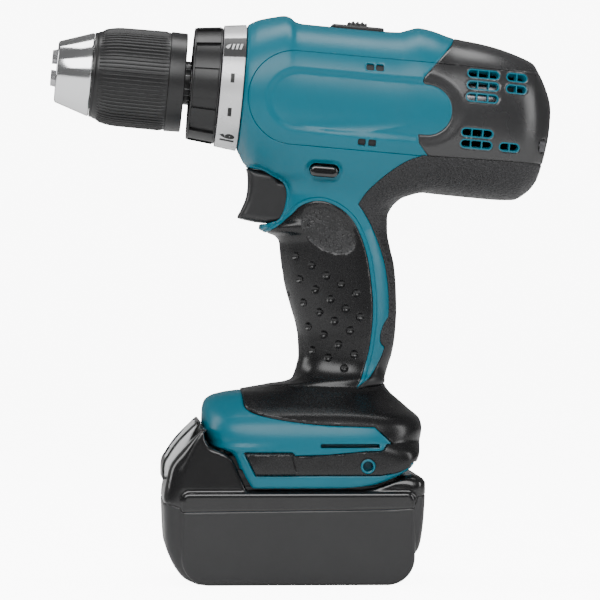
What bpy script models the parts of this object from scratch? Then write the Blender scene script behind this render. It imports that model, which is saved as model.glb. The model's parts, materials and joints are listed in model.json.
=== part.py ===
"""Compact 18 V drill driver with keyless chuck, two-stage planetary gearbox and slide-in battery.

Frame: origin under the battery, +Z up, nose towards -X, the user's left side is -Y.
The barrel (chuck, gears, motor) leans nose-up; its own frame is (u forward, r up, y sideways).
Sizes are in millimetres and are turned into metres when a mesh is made.
"""
import math

import bmesh
import bpy
from mathutils import Matrix, Vector

MM = 0.001

# ---- driving dimensions ------------------------------------------------------------------
TILT = math.radians(5.0)            # nose-up lean of the barrel
BARREL_X, BARREL_Z = -21.5, 214.4   # centre of the housing's front face

GAP = 0.3                           # clearance between pieces that touch
HALF_GAP = GAP / 2
WALL = 2.6                          # housing wall under the soft grips of the handle and foot
BARREL_WALL = 3.4                   # housing wall round the motor and gears
SKIN = 1.8                          # depth of the soft grips

BARREL_HALF_WIDTH = 30.6
FOOT_HALF_WIDTH = 39.5
FOOT_LOW = 41.8
BATTERY_HALF_WIDTH = 37.5
HOOK_X, HOOK_Z, HOOK_FACE, HOOK_PAD_R, HOOK_HOLE_R = 31.0, 51.3, 39.7, 5.6, 2.3   # belt hook's seat
BATTERY_FRONT, BATTERY_REAR = -56.5, 56.2
CASE_TOP = 33.0
RAIL_IN, GROOVE_LOW, GROOVE_HIGH = 31.4, 42.5, 46.0   # the foot's rails run in the battery's grooves
CASE_WALL = 2.4
CELL_LENGTH = 2 * BATTERY_HALF_WIDTH - 10.0
CELL_R, CELL_PITCH, CELLS_LONG, CELLS_HIGH = 9.1, 18.4, 5, 2

# gearbox: two planetary stages share one ring gear
MODULE, SUN_TEETH, PLANET_TEETH = 1.0, 12, 12
RING_TEETH = SUN_TEETH + 2 * PLANET_TEETH
PRESSURE = math.radians(25)
BACKLASH = 0.24
ADDENDUM, DEDENDUM = 0.75, 0.98
GEAR_WIDTH = 8.0
PLANETS = 3
PIN_R = 2.0
STAGE_GAP = 0.4
CARRIER_THICK, CARRIER_R = 3.0, 15.6
RING_OUTER_R = 21.4
CASE_OUTER_R = 24.0
STAGE_2_FRONT = -28.8               # front face of the second stage's planets

SPINDLE_R = 6.0
BEARING_R, BEARING_WIDTH = 12.0, 8.0
NOSE_TUBE_R = 13.5                  # gear case nose, which the torque knob turns around
NOSE_TUBE_FRONT = 19.8

# torque knob and its scale band
BAND_FRONT, BAND_R, BAND_R_FRONT = 10.0, 27.6, 26.4
KNOB_FRONT, KNOB_R, KNOB_R_FRONT = 22.5, 25.6, 24.4
KNOB_BORE_R = 20.0
KNOB_FLUTES, FLUTE_R = 20, 1.3
NUT_TRAVEL = 3.0
SPRING_R, SPRING_WIRE_R, SPRING_TURNS = 16.6, 1.1, 3

# keyless chuck
COLLAR_R, COLLAR_REAR = 9.5, 22.8
SLEEVE_REAR, SLEEVE_FRONT, SLEEVE_R, SLEEVE_R_FRONT = 25.5, 65.2, 21.7, 18.7
SLEEVE_BORE_R = 19.6
CORE_R = 15.0
NOSE_REAR, NOSE_FRONT, NOSE_R, NOSE_R_FRONT = 65.5, 81.0, 18.2, 13.2
CHUCK_BORE_R = 6.8
JAW_LEAN = math.radians(17)
JAW_R, JAW_LENGTH, JAW_TIP, JAW_TIP_RADIUS = 3.4, 19.5, 83.2, 5.6
JAW_GRIP_RADIUS = 3.15              # distance of the gripping edge from the axis at rest
NUT_REAR, NUT_FRONT, NUT_R = 56.0, 61.0, 19.3

# motor
MOTOR_R, MOTOR_WALL = 18.3, 1.8
MOTOR_FRONT, MOTOR_REAR = -66.0, -114.0
SHAFT_R, SHAFT_REAR = 2.5, -121.0
MOTOR_BEARING_R, MOTOR_BEARING_WIDTH = 8.0, 5.0
ROTOR_R, ROTOR_FRONT, ROTOR_REAR = 13.4, -76.0, -101.0
ROTOR_SLOTS = 5
FAN_R, FAN_BLADES = 15.4, 9

# controls
TRIGGER_HALF_WIDTH, TRIGGER_TRAVEL = 9.0, 7.0
HANDLE_HALF_WIDTH = 2 * TRIGGER_HALF_WIDTH - 0.8    # the handle grows with the trigger that works in it
SWITCH_HALF_WIDTH = HANDLE_HALF_WIDTH - 8.0        # the switch keeps clear of the handle's walls
PLUNGER_R = 2.6
LEVER_X, LEVER_Z, LEVER_LENGTH, LEVER_HEIGHT = 13.0, 177.6, 12.4, 5.2
LEVER_HALF, LEVER_TRAVEL = 25.2, 2.5
SELECTOR_FRONT, SELECTOR_REAR, SELECTOR_HALF = -36.4, -59.4, 8.0
KNOB_SLOT_FRONT, KNOB_SLOT_REAR, KNOB_SLOT_HALF = -38.4, -57.2, 5.6
SELECTOR_U, SELECTOR_KNOB_LENGTH, SELECTOR_TRAVEL = -47.7, 8.4, 4.2
SELECTOR_PLATE, SELECTOR_PLATE_TOP = 28.0, 27.9
LAMP_INNER, LAMP_OUTER, LAMP_R = Vector((-16.2, 0, 187.0)), Vector((-20.6, 0, 183.2)), 2.6
SCREW_R, SCREW_HEAD_R, SCREW_HEAD, BOSS_R = 1.7, 3.2, 2.4, 4.0
REAR_SCREW_LENGTH = 8.0
# each housing screw: x, z, how far out its head sits, and its length
HOUSING_SCREWS = ((0.5, 183.6, 10.0, 24.0), (41.0, 175.6, 10.0, 24.0), (37.6, 121.0, 8.5, 17.0),
                  (-28.0, 70.0, 18.0, 24.0), (43.0, 68.5, 18.0, 24.0))
REAR_SCREW_SIDE, REAR_SCREW_R = 17.5, -14.0
VENT_HEIGHT = 4.2
# upper rows (front end, rear end, height), then lower rows, along the barrel
VENT_ROWS = ((-95.3, -109.8, 14.3), (-95.3, -109.8, 9.2), (-95.3, -109.8, 3.9),
             (-112.5, -122.2, 14.3), (-112.5, -122.2, 9.1),
             (-94.5, -108.9, -11.5), (-94.5, -108.9, -16.4), (-111.5, -120.9, -16.3))

# ---- outlines ----------------------------------------------------------------------------
# barrel stations: u, top, bottom, half width as a share of the widest
BARREL = ((0, 27.6, -27.6, 0.902), (-4, 29.8, -33.4, 0.955), (-16, 32.4, -35.0, 0.99),
          (-22, 30.3, -35.5, 0.995), (-64, 30.1, -37.6, 1.0), (-74.5, 32.6, -38.2, 1.0),
          (-90, 29.9, -38.6, 0.985), (-106, 27.8, -38.9, 0.95), (-120, 24.2, -38.2, 0.88),
          (-127, 20.0, -34.5, 0.78), (-131.5, 13.2, -28.5, 0.62), (-134.3, 4.0, -15.5, 0.36))
# handle stations: z, front x, rear x, half width as a share of the grip's
HANDLE = ((76, -8, 36, 1.08), (84.4, -5.5, 39.6, 1.05), (89, 0.5, 41.3, 1.0), (98, 3.2, 43.8, 0.98),
          (107, 2.6, 45.4, 1.0), (118, 0, 46.0, 1.0), (136, -4.0, 45.0, 1.0), (148, -5.3, 42.8, 1.0),
          (153.6, -14.0, 42.0, 1.0), (157, -8.6, 42.2, 1.02), (163, -5.5, 44.4, 1.07),
          (168, -4.8, 51.0, 1.14), (178, -8.0, 60.0, 1.32), (190, -8.0, 62.0, 1.5))
# foot stations: z, front x, rear x, half width as a share of the widest
FOOT = ((FOOT_LOW, -19.5, 26.0, 0.965), (44, -20.8, 38.0, 0.985), (49, -23.5, 48.5, 1.0),
        (58.3, -33.5, 54.0, 1.0), (62, -37.8, 54.7, 0.995), (68, -39.1, 55.4, 0.965),
        (74, -38.9, 51.0, 0.89), (79.5, -36.0, 45.0, 0.74), (83.6, -20.0, 39.6, 0.52))
# side panel of the smooth grip with the collar round the foot: x, z
SIDE_GRIP = ((-30, 151.9), (-9.8, 151.7), (-4.8, 155.9), (0, 159.9), (2.8, 162.8), (9.7, 165), (18.5, 162.8),
             (26.5, 155.9), (31.5, 144.6), (34.1, 130), (34.7, 118), (33.0, 100.3), (29.4, 88.7),
             (27.5, 84.3), (70, 84.3), (70, 58), (45, 58.6), (42.5, 61), (37.2, 65.6), (34, 68.1),
             (13.7, 68.9), (0, 70.3), (-10.6, 72.1), (-17.9, 74.2), (-21.2, 76.2), (-22, 80), (-19, 92),
             (-30, 92))
# front edge of the rubber back grip: x, z; its other sides lie outside the tool
BACK_GRIP = ((56.2, 184.6), (49.7, 182.4), (43.9, 179.1), (33, 170), (28.3, 163.5), (35.2, 152.6),
             (40.3, 138), (42.3, 121.4), (41, 112.3), (38.1, 106.8), (38.1, 103.9), (39.9, 100.6),
             (35.9, 92.3), (30.6, 86.2), (30.6, 84.9), (130, 84.9))
COVER_LOWER = -23.2                 # underside of the rear cover, in barrel heights
TONGUE_U, TONGUE_Z, TONGUE_R = -79.0, -3.5, 11.2
TRIGGER = ((-19.7, 178.2), (-19.0, 174), (-19.0, 171.5), (-19.8, 166.4), (-21.6, 162), (-23.3, 158.9),
           (-22.6, 157.6), (-14.6, 156.2), (1.0, 156.2), (1.0, 173.8), (-5.0, 174.4),
           (-8.0, 177.4))


# ---- frames and meshes -------------------------------------------------------------------
def barrel_point(u, y, r):
    """A point of the barrel's frame in the tool's frame."""
    return Vector((BARREL_X - u * math.cos(TILT) + r * math.sin(TILT), y,
                   BARREL_Z + u * math.sin(TILT) + r * math.cos(TILT)))


BARREL_AXIS = Vector((-math.cos(TILT), 0, math.sin(TILT)))
BARREL_UP = Vector((math.sin(TILT), 0, math.cos(TILT)))


def new_object(name, vertices, faces, smooth_angle=None):
    """Make a mesh object from millimetre points."""
    mesh = bpy.data.meshes.new(name)
    mesh.from_pydata([tuple(c * MM for c in v) for v in vertices], [], faces)
    mesh.update()
    bm = bmesh.new()
    bm.from_mesh(mesh)
    bmesh.ops.recalc_face_normals(bm, faces=bm.faces)
    bm.to_mesh(mesh)
    bm.free()
    if smooth_angle:
        mesh.shade_smooth()
        mesh.set_sharp_from_angle(angle=math.radians(smooth_angle))
    obj = bpy.data.objects.new(name, mesh)
    bpy.context.scene.collection.objects.link(obj)
    return obj


def skin_rings(name, rings, smooth_angle=40):
    """A closed solid through rings of equal point counts, capped at both ends."""
    count = len(rings[0])
    vertices = [p for ring in rings for p in ring]
    faces = []
    for i in range(len(rings) - 1):
        for j in range(count):
            k = (j + 1) % count
            faces.append((i * count + j, i * count + k, (i + 1) * count + k, (i + 1) * count + j))
    faces.append(tuple(range(count)))
    faces.append(tuple(range((len(rings) - 1) * count, len(rings) * count)))
    return new_object(name, vertices, faces, smooth_angle)


def superellipse(centre_a, centre_b, half_a, half_b, power, count):
    """Points of a rounded outline in two coordinates."""
    points = []
    for i in range(count):
        angle = 2 * math.pi * i / count
        ca, sa = math.cos(angle), math.sin(angle)
        points.append((centre_a + half_a * math.copysign(abs(ca) ** (2 / power), ca),
                       centre_b + half_b * math.copysign(abs(sa) ** (2 / power), sa)))
    return points


def turned(name, profile, count=24):
    """A solid turned about the barrel axis; profile is (u, radius) pairs round the closed section.

    A profile that starts and ends on the axis makes a solid without a bore.
    """
    on_axis = profile[0][1] == 0
    ring_profile = profile[1:-1] if on_axis else profile
    vertices, faces = [], []
    for u, radius in ring_profile:
        for i in range(count):
            angle = 2 * math.pi * i / count
            vertices.append(barrel_point(u, radius * math.cos(angle), radius * math.sin(angle)))
    rings = len(ring_profile)
    last = rings - 1 if on_axis else rings
    for i in range(last):
        k = (i + 1) % rings
        for j in range(count):
            n = (j + 1) % count
            faces.append((i * count + j, i * count + n, k * count + n, k * count + j))
    if on_axis:
        faces.append(tuple(range(count)))
        faces.append(tuple(range((rings - 1) * count, rings * count)))
    return new_object(name, vertices, faces, 35)


def disc(name, rear, front, radius, count=24):
    return turned(name, ((rear, 0), (rear, radius), (front, radius), (front, 0)), count)


def tube(name, rear, front, inner, outer, count=24):
    return turned(name, ((rear, inner), (front, inner), (front, outer), (rear, outer)), count)


def barrel_prism(name, outline, rear, front):
    """An outline of (y, r) points carried along the barrel."""
    rings = [[barrel_point(u, y, r) for y, r in outline] for u in (rear, front)]
    return skin_rings(name, rings, 35)


def side_prism(name, outline, low, high):
    """An outline of (x, z) points carried across the tool from y = low to y = high."""
    rings = [[Vector((x, y, z)) for x, z in outline] for y in (low, high)]
    return skin_rings(name, rings, 35)


def block(name, x0, x1, y0, y1, z0, z1):
    return side_prism(name, ((x0, z0), (x1, z0), (x1, z1), (x0, z1)), y0, y1)


def barrel_block(name, u0, u1, y0, y1, r0, r1):
    return barrel_prism(name, ((y0, r0), (y1, r0), (y1, r1), (y0, r1)), u0, u1)


def rod(name, start, end, radius, count=20, end_radius=None):
    """A round bar or cone between two points."""
    start, end = Vector(start), Vector(end)
    along = (end - start).normalized()
    side = along.orthogonal().normalized()
    other = along.cross(side)
    rings = []
    for centre, r in ((start, radius), (end, radius if end_radius is None else end_radius)):
        rings.append([centre + side * r * math.cos(2 * math.pi * i / count)
                      + other * r * math.sin(2 * math.pi * i / count) for i in range(count)])
    return skin_rings(name, rings, 35)


def cut(obj, *tools, operation='DIFFERENCE', solver='EXACT'):
    """Apply Boolean cuts, then remove the tool objects."""
    for tool in tools:
        modifier = obj.modifiers.new('cut', 'BOOLEAN')
        modifier.operation = operation
        modifier.solver = solver
        modifier.object = tool
        depsgraph = bpy.context.evaluated_depsgraph_get()
        mesh = bpy.data.meshes.new_from_object(obj.evaluated_get(depsgraph))
        obj.modifiers.clear()
        old = obj.data
        obj.data = mesh
        bpy.data.meshes.remove(old)
        bpy.data.objects.remove(tool)
    return obj


def join(obj, *tools, solver='EXACT'):
    return cut(obj, *tools, operation='UNION', solver=solver)


def keep(obj, *tools, solver='EXACT'):
    return cut(obj, *tools, operation='INTERSECT', solver=solver)


def shell_cut(obj, *tools):
    """The exact solver leaves the tool's lofted body open, because its four-sided faces aren't flat."""
    return cut(obj, *tools, solver='MANIFOLD')


def shell_join(obj, *tools):
    return join(obj, *tools, solver='MANIFOLD')


def shell_keep(obj, *tools):
    return keep(obj, *tools, solver='MANIFOLD')


def copy_of(obj, name):
    twin = obj.copy()
    twin.data = obj.data.copy()
    twin.name = name
    bpy.context.scene.collection.objects.link(twin)
    return twin


def finish(obj, name, colour, roughness=0.5, metallic=0.0, origin=None):
    """Name a finished piece, give it its material and put its origin on its joint's axis."""
    obj.name = name
    material = bpy.data.materials.new(name)
    material.use_nodes = True
    shader = material.node_tree.nodes['Principled BSDF']
    shader.inputs['Base Color'].default_value = (*colour, 1)
    shader.inputs['Roughness'].default_value = roughness
    shader.inputs['Metallic'].default_value = metallic
    obj.data.materials.clear()
    obj.data.materials.append(material)
    if origin is not None:
        place = Vector(origin) * MM
        obj.data.transform(Matrix.Translation(-place))
        obj.location = place
    return obj


BLUE, BLACK, DARK, STEEL = (0.0, 0.2, 0.3), (0.02, 0.02, 0.022), (0.05, 0.05, 0.055), (0.6, 0.6, 0.62)
COPPER, WHITE = (0.6, 0.3, 0.15), (0.7, 0.72, 0.74)


# ---- shapes of the outside ---------------------------------------------------------------
def barrel_body(inset):
    """The motor and gear barrel, drawn in by the inset on every side."""
    rings = []
    for index, (u, top, bottom, share) in enumerate(BARREL):
        if index == 0:
            u -= inset
        if index == len(BARREL) - 1:
            u += inset
        half = BARREL_HALF_WIDTH * share - inset
        outline = superellipse(0, (top + bottom) / 2, half, (top - bottom) / 2 - inset,
                               2.0 + 0.4 * min(1, -u / 20), 16)
        rings.append([barrel_point(u, y, r) for y, r in outline])
    return skin_rings('barrel', rings)


def upright_body(name, stations, half_width, power, inset, count, low_end=0.0, high_end=0.0):
    """A body through level outlines; low_end and high_end draw in its lowest and highest outline."""
    rings = []
    for index, (z, front, rear, share) in enumerate(stations):
        if index == 0:
            z += low_end
        if index == len(stations) - 1:
            z -= high_end
        outline = superellipse((front + rear) / 2, 0, (rear - front) / 2 - inset,
                               half_width * share - inset, power, count)
        rings.append([Vector((x, y, z)) for x, y in outline])
    return skin_rings(name, rings)


def handle_body(inset):
    return upright_body('handle', HANDLE, HANDLE_HALF_WIDTH, 2.3, inset, 12)


def foot_body(inset):
    return upright_body('foot', FOOT, FOOT_HALF_WIDTH, 4.0, inset, 12, 0.0, inset)


def tool_body(inset, barrel_inset=None):
    """The whole outside of the tool without the battery, drawn in by the inset."""
    barrel = barrel_body(inset if barrel_inset is None else barrel_inset)
    return shell_join(barrel, handle_body(inset), foot_body(inset))


def cover_outline(grow):
    """Side outline of the rear cover in the barrel's frame, grown by a gap."""
    points = [(-150, COVER_LOWER - grow), (-81.5 + grow, COVER_LOWER - grow), (-77 + grow, -18.4),
              (-76.5 + grow, TONGUE_Z - TONGUE_R + grow)]
    radius = TONGUE_R - grow
    for i in range(9):
        angle = math.radians(270 - 180 * i / 8)
        points.append((TONGUE_U + radius * math.cos(angle), TONGUE_Z + radius * math.sin(angle)))
    points += [(-75.6 + grow, TONGUE_Z + TONGUE_R - grow), (-76.3 + grow, 9.9), (-90 + grow, 30.0),
               (-96 + grow, 44), (-150, 44)]
    return [(BARREL_X - u * math.cos(TILT) + r * math.sin(TILT),
             BARREL_Z + u * math.sin(TILT) + r * math.cos(TILT)) for u, r in points]


def back_grip_outline(drop):
    """Side outline of the rubber back grip; drop keeps it under the rear cover by a gap."""
    rear = barrel_point(-150, 0, COVER_LOWER - drop)
    corner = barrel_point(-81.0, 0, COVER_LOWER - drop)
    return [(rear.x, rear.z), (corner.x, corner.z)] + list(BACK_GRIP[1:])


def half_box(side):
    """Everything on one side of the tool's middle plane; side is -1 for the left."""
    low, high = (HALF_GAP, 90) if side > 0 else (-90, -HALF_GAP)
    return block('half', -150, 150, low, high, -20, 300)


def oblong(centre_a, centre_b, length, height, count=6, lean=0.0):
    """An upright slot with round ends, as (a, b) points."""
    radius, reach = height / 2, (length - height) / 2
    points = []
    for end in (1, -1):
        for i in range(count + 1):
            angle = math.pi * (i / count - 0.5) + (0 if end > 0 else math.pi)
            a, b = end * reach + radius * math.cos(angle), radius * math.sin(angle)
            points.append((centre_a + a * math.cos(lean) - b * math.sin(lean),
                           centre_b + a * math.sin(lean) + b * math.cos(lean)))
    return points


# ---- housing, cover and grips ------------------------------------------------------------
def housing_shell():
    """Both housing halves in one, before they are parted at the middle plane."""
    shell = tool_body(0)
    pockets = side_prism('grip', SIDE_GRIP, -70, 70)
    shell_join(pockets, side_prism('back', back_grip_outline(-GAP), -70, 70))
    shell_cut(pockets, tool_body(SKIN))
    shell_cut(shell, pockets)
    shell_cut(shell, tool_body(SKIN + WALL, BARREL_WALL))
    shell_cut(shell, side_prism('cover', cover_outline(GAP), -70, 70))
    inside = barrel_block('rib', -16.5, -14.0, -40, 40, -32, 40)
    shell_join(inside, barrel_block('rib', -66.5, -64.0, -40, 40, -32, 40))
    for x, z, _, _ in HOUSING_SCREWS:
        shell_join(inside, rod('boss', (x, -50, z), (x, 50, z), BOSS_R, 12))
    shell_keep(inside, tool_body(SKIN + WALL / 2, BARREL_WALL - 0.8))
    shell_join(shell, inside)
    bore = disc('bore', -150, -2.6, CASE_OUTER_R + GAP)
    shell_cut(shell, bore)
    shell_cut(shell, disc('mouth', -10, 5, NOSE_TUBE_R + GAP))
    return shell


def shell_openings(shell):
    """Cut what passes through the housing wall."""
    shell_cut(shell, block('trigger_mouth', -40, 4, -TRIGGER_HALF_WIDTH - GAP, TRIGGER_HALF_WIDTH + GAP,
                     155.8, 178.6))
    shell_cut(shell, side_prism('lever_hole', oblong(LEVER_X, LEVER_Z, LEVER_LENGTH + 2 * GAP,
                                               LEVER_HEIGHT + 2 * GAP), -50, 50))
    shell_cut(shell, barrel_block('selector_hole', SELECTOR_REAR - GAP, SELECTOR_FRONT + GAP,
                            -SELECTOR_HALF - GAP, SELECTOR_HALF + GAP, 20, 45))
    reach = SELECTOR_PLATE / 2 + SELECTOR_TRAVEL + GAP
    shell_cut(shell, barrel_block('selector_track', SELECTOR_U - reach, SELECTOR_U + reach,
                            -SELECTOR_HALF - GAP, SELECTOR_HALF + GAP, 20, SELECTOR_PLATE_TOP + GAP))
    shell_cut(shell, lamp_rod(GAP))
    # the battery's tower slides in from the front, under the handle
    bay = ((-36.2, 29), (36.2, 29), (36.2, 50), (33.4, 50),
           (33.4, 60.6), (-33.4, 60.6), (-33.4, 50), (-36.2, 50))
    shell_cut(shell, skin_rings('battery_bay', [[Vector((x, y, z)) for y, z in bay] for x in (-60, 47.5)]))
    for side in (-1, 1):
        low, high = sorted((side * RAIL_IN, side * (FOOT_HALF_WIDTH - 2.0)))
        shell_join(shell, block('rail', -14, 44, low, high, GROOVE_LOW + 0.4, GROOVE_HIGH - 0.4))
        end, floor, face = side * HOOK_FACE, side * (HOOK_FACE - 3.0), side * 37.0
        shell_join(shell, rod('hook_pad', (HOOK_X, face, HOOK_Z), (HOOK_X, end, HOOK_Z), HOOK_PAD_R, 20))
        hole = rod('hook_hole', (HOOK_X, floor, HOOK_Z), (HOOK_X, end + side, HOOK_Z), HOOK_HOLE_R, 12)
        shell_cut(shell, hole)
    for x, z, seat, length in HOUSING_SCREWS:
        shell_cut(shell, rod('seat', (x, seat, z), (x, 60, z), SCREW_HEAD_R + GAP, 14))
        shell_cut(shell, rod('hole', (x, seat - length - 1.5, z), (x, 61, z), SCREW_R + GAP, 10))
    return shell


def build_housing():
    shell = shell_openings(housing_shell())
    for side, name in ((-1, 'housing_left'), (1, 'housing_right')):
        half = shell_keep(copy_of(shell, name), half_box(side))
        finish(half, name, BLUE, 0.4)
    bpy.data.objects.remove(shell)


def build_grips():
    """Soft grips: they fill the pockets of the housing halves with a small gap."""
    for stem, outline, colour in (('grip', SIDE_GRIP, BLACK), ('back_grip', back_grip_outline(0.0), DARK)):
        skin = shell_keep(tool_body(0), side_prism('region', outline, -70, 70))
        shell_cut(skin, tool_body(SKIN - GAP))
        if stem == 'grip':
            shell_cut(skin, block('mouth', -60, 60, -FOOT_HALF_WIDTH, FOOT_HALF_WIDTH, 30, 59.5))
            shell_cut(skin, block('behind', 27.0, 90, -50, 50, 84.0, 86))
        for x, z, _, _ in HOUSING_SCREWS[1:]:
            shell_cut(skin, rod('seat', (x, 2, z), (x, 60, z), SCREW_HEAD_R + GAP, 14))
        for side, name in ((-1, stem + '_left'), (1, stem + '_right')):
            half = shell_keep(copy_of(skin, name), half_box(side))
            finish(half, name, colour, 0.6)
        bpy.data.objects.remove(skin)


def build_rear_cover():
    cover = shell_keep(tool_body(0), side_prism('region', cover_outline(0), -70, 70))
    shell_cut(cover, tool_body(SKIN + 0.6))
    for front, rear, height in VENT_ROWS:
        middle = barrel_point((front + rear) / 2, 0, height)
        slot = oblong(middle.x, middle.z, front - rear, VENT_HEIGHT, 3, -TILT)
        shell_cut(cover, side_prism('vent', slot, -70, 70))
    for side in (-1, 1):
        start = barrel_point(-118, side * REAR_SCREW_SIDE, REAR_SCREW_R)
        end = barrel_point(-140, side * REAR_SCREW_SIDE, REAR_SCREW_R)
        shell_cut(cover, rod('hole', start, end, SCREW_R + GAP, 12))
        shell_cut(cover, rod('seat', barrel_point(-129.5, side * REAR_SCREW_SIDE, REAR_SCREW_R), end,
                       SCREW_HEAD_R + GAP, 16))
    finish(cover, 'rear_cover', BLACK, 0.45)


def screw(name, seat, direction, length):
    """A pan-head screw whose head rests on its seat and whose shank points along the direction."""
    seat, direction = Vector(seat), Vector(direction).normalized()
    body = rod(name, seat, seat - direction * SCREW_HEAD, SCREW_HEAD_R, 14, SCREW_HEAD_R * 0.8)
    join(body, rod('shank', seat - direction * 0.5, seat + direction * length, SCREW_R, 10))
    cut(body, rod('socket', seat - direction * (SCREW_HEAD + 1), seat - direction * 0.9, 1.4, 6))
    return finish(body, name, STEEL, 0.3, 1.0)


def build_screws():
    for index, (x, z, seat, length) in enumerate(HOUSING_SCREWS):
        screw('housing_screw_%d' % (index + 1), (x, seat + GAP, z), (0, -1, 0), length)
    for index, side in enumerate((-1, 1)):
        screw('rear_screw_%d' % (index + 1),
              barrel_point(-129.6 - GAP, side * REAR_SCREW_SIDE, REAR_SCREW_R),
              BARREL_AXIS, REAR_SCREW_LENGTH)


# ---- gearbox -----------------------------------------------------------------------------
def gear_outline(teeth, tooth_at_zero, inward=False):
    """Tooth outline as (y, r) points; an inward gear's outline is the space inside a ring gear."""
    pitch_r = MODULE * teeth / 2
    sign = -1 if inward else 1
    half = MODULE * math.pi / 4 - BACKLASH / 2
    tip, root = pitch_r + sign * ADDENDUM, pitch_r - sign * DEDENDUM
    tip_half = (half - ADDENDUM * math.tan(PRESSURE)) / pitch_r
    root_half = (half + DEDENDUM * math.tan(PRESSURE)) / pitch_r
    points = []
    for i in range(teeth):
        centre = 2 * math.pi * (i + (0 if tooth_at_zero else 0.5)) / teeth
        for offset, radius in ((-root_half, root), (-tip_half, tip), (tip_half, tip), (root_half, root)):
            angle = centre + offset
            points.append((radius * math.cos(angle), radius * math.sin(angle)))
    return points


def planet_centre(index):
    angle = 2 * math.pi * index / PLANETS
    distance = MODULE * (SUN_TEETH + PLANET_TEETH) / 2
    return distance * math.cos(angle), distance * math.sin(angle), angle


STAGE_2_REAR = STAGE_2_FRONT - GEAR_WIDTH
CARRIER_1_FRONT = STAGE_2_REAR - STAGE_GAP
CARRIER_1_REAR = CARRIER_1_FRONT - CARRIER_THICK
STAGE_1_FRONT = CARRIER_1_REAR - STAGE_GAP
STAGE_1_REAR = STAGE_1_FRONT - GEAR_WIDTH
CARRIER_2_REAR = STAGE_2_FRONT + STAGE_GAP
CARRIER_2_FRONT = CARRIER_2_REAR + 4.5
RING_REAR, RING_FRONT = STAGE_1_REAR - 2.0, CARRIER_2_FRONT + 1.0
GEARCASE_REAR = RING_REAR - 4.0


def build_sun(name, rear, front, bore):
    sun = barrel_prism(name, gear_outline(SUN_TEETH, True), rear, front)
    cut(sun, disc('bore', rear - 1, front + 1, bore, 14))
    finish(sun, name, STEEL, 0.3, 1.0, barrel_point(rear, 0, 0))


def build_planets(stage, rear, front):
    for index in range(PLANETS):
        y, r, angle = planet_centre(index)
        outline = gear_outline(PLANET_TEETH, False)
        turn = [(y + a * math.cos(angle) - b * math.sin(angle),
                 r + a * math.sin(angle) + b * math.cos(angle)) for a, b in outline]
        name = 'planet_%d%s' % (stage, 'abc'[index])
        planet = barrel_prism(name, turn, rear, front)
        cut(planet, rod('bore', barrel_point(rear - 1, y, r), barrel_point(front + 1, y, r), PIN_R + GAP, 10))
        finish(planet, name, STEEL, 0.35, 1.0, barrel_point(rear, y, r))


def build_carrier(name, rear, front, pin_rear, bore):
    carrier = tube(name, rear, front, bore, CARRIER_R)
    for index in range(PLANETS):
        y, r, _ = planet_centre(index)
        join(carrier, rod('pin', barrel_point(pin_rear, y, r), barrel_point(rear + 1, y, r), PIN_R, 10))
    finish(carrier, name, STEEL, 0.35, 1.0, barrel_point(rear, 0, 0))


def build_gearbox():
    build_sun('sun_gear_1', STAGE_1_REAR, STAGE_1_FRONT - 0.2, SHAFT_R + GAP)
    build_planets(1, STAGE_1_REAR, STAGE_1_FRONT)
    build_carrier('carrier_1', CARRIER_1_REAR, CARRIER_1_FRONT, STAGE_1_REAR, 2.6)
    sun = barrel_prism('sun_gear_2', gear_outline(SUN_TEETH, True), CARRIER_1_FRONT + GAP, STAGE_2_FRONT)
    join(sun, disc('stub', CARRIER_1_REAR, CARRIER_1_FRONT + 1, 2.6 - GAP, 14))
    finish(sun, 'sun_gear_2', STEEL, 0.3, 1.0, barrel_point(STAGE_2_REAR, 0, 0))
    build_planets(2, STAGE_2_REAR, STAGE_2_FRONT)
    build_carrier('carrier_2', CARRIER_2_REAR, CARRIER_2_FRONT, STAGE_2_REAR, SPINDLE_R * 0.75 + GAP)
    ring = disc('ring_gear', RING_REAR, RING_FRONT, RING_OUTER_R, 30)
    cut(ring, barrel_prism('teeth', gear_outline(RING_TEETH, True, True), RING_REAR - 1, RING_FRONT + 1))
    finish(ring, 'ring_gear', STEEL, 0.4, 1.0)
    case = turned('gear_case', (
        (GEARCASE_REAR, RING_OUTER_R + GAP), (RING_FRONT + GAP, RING_OUTER_R + GAP),
        (RING_FRONT + GAP, CARRIER_R - 1.0), (-5.5, CARRIER_R - 1.0), (-5.5, BEARING_R + GAP),
        (-5.5 + BEARING_WIDTH + 2.5, BEARING_R + GAP), (-5.5 + BEARING_WIDTH + 2.5, SPINDLE_R + 1.4),
        (NOSE_TUBE_FRONT, SPINDLE_R + 1.4), (NOSE_TUBE_FRONT, NOSE_TUBE_R), (-2.4 - GAP, NOSE_TUBE_R),
        (-2.4 - GAP - 0.2, CASE_OUTER_R), (GEARCASE_REAR, CASE_OUTER_R)), 24)
    finish(case, 'gear_case', (0.4, 0.4, 0.42), 0.5, 0.8)
    bearing = tube('bearing_spindle', -5.2, -5.2 + BEARING_WIDTH, SPINDLE_R + GAP, BEARING_R, 20)
    finish(bearing, 'bearing_spindle', STEEL, 0.25, 1.0)


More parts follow.
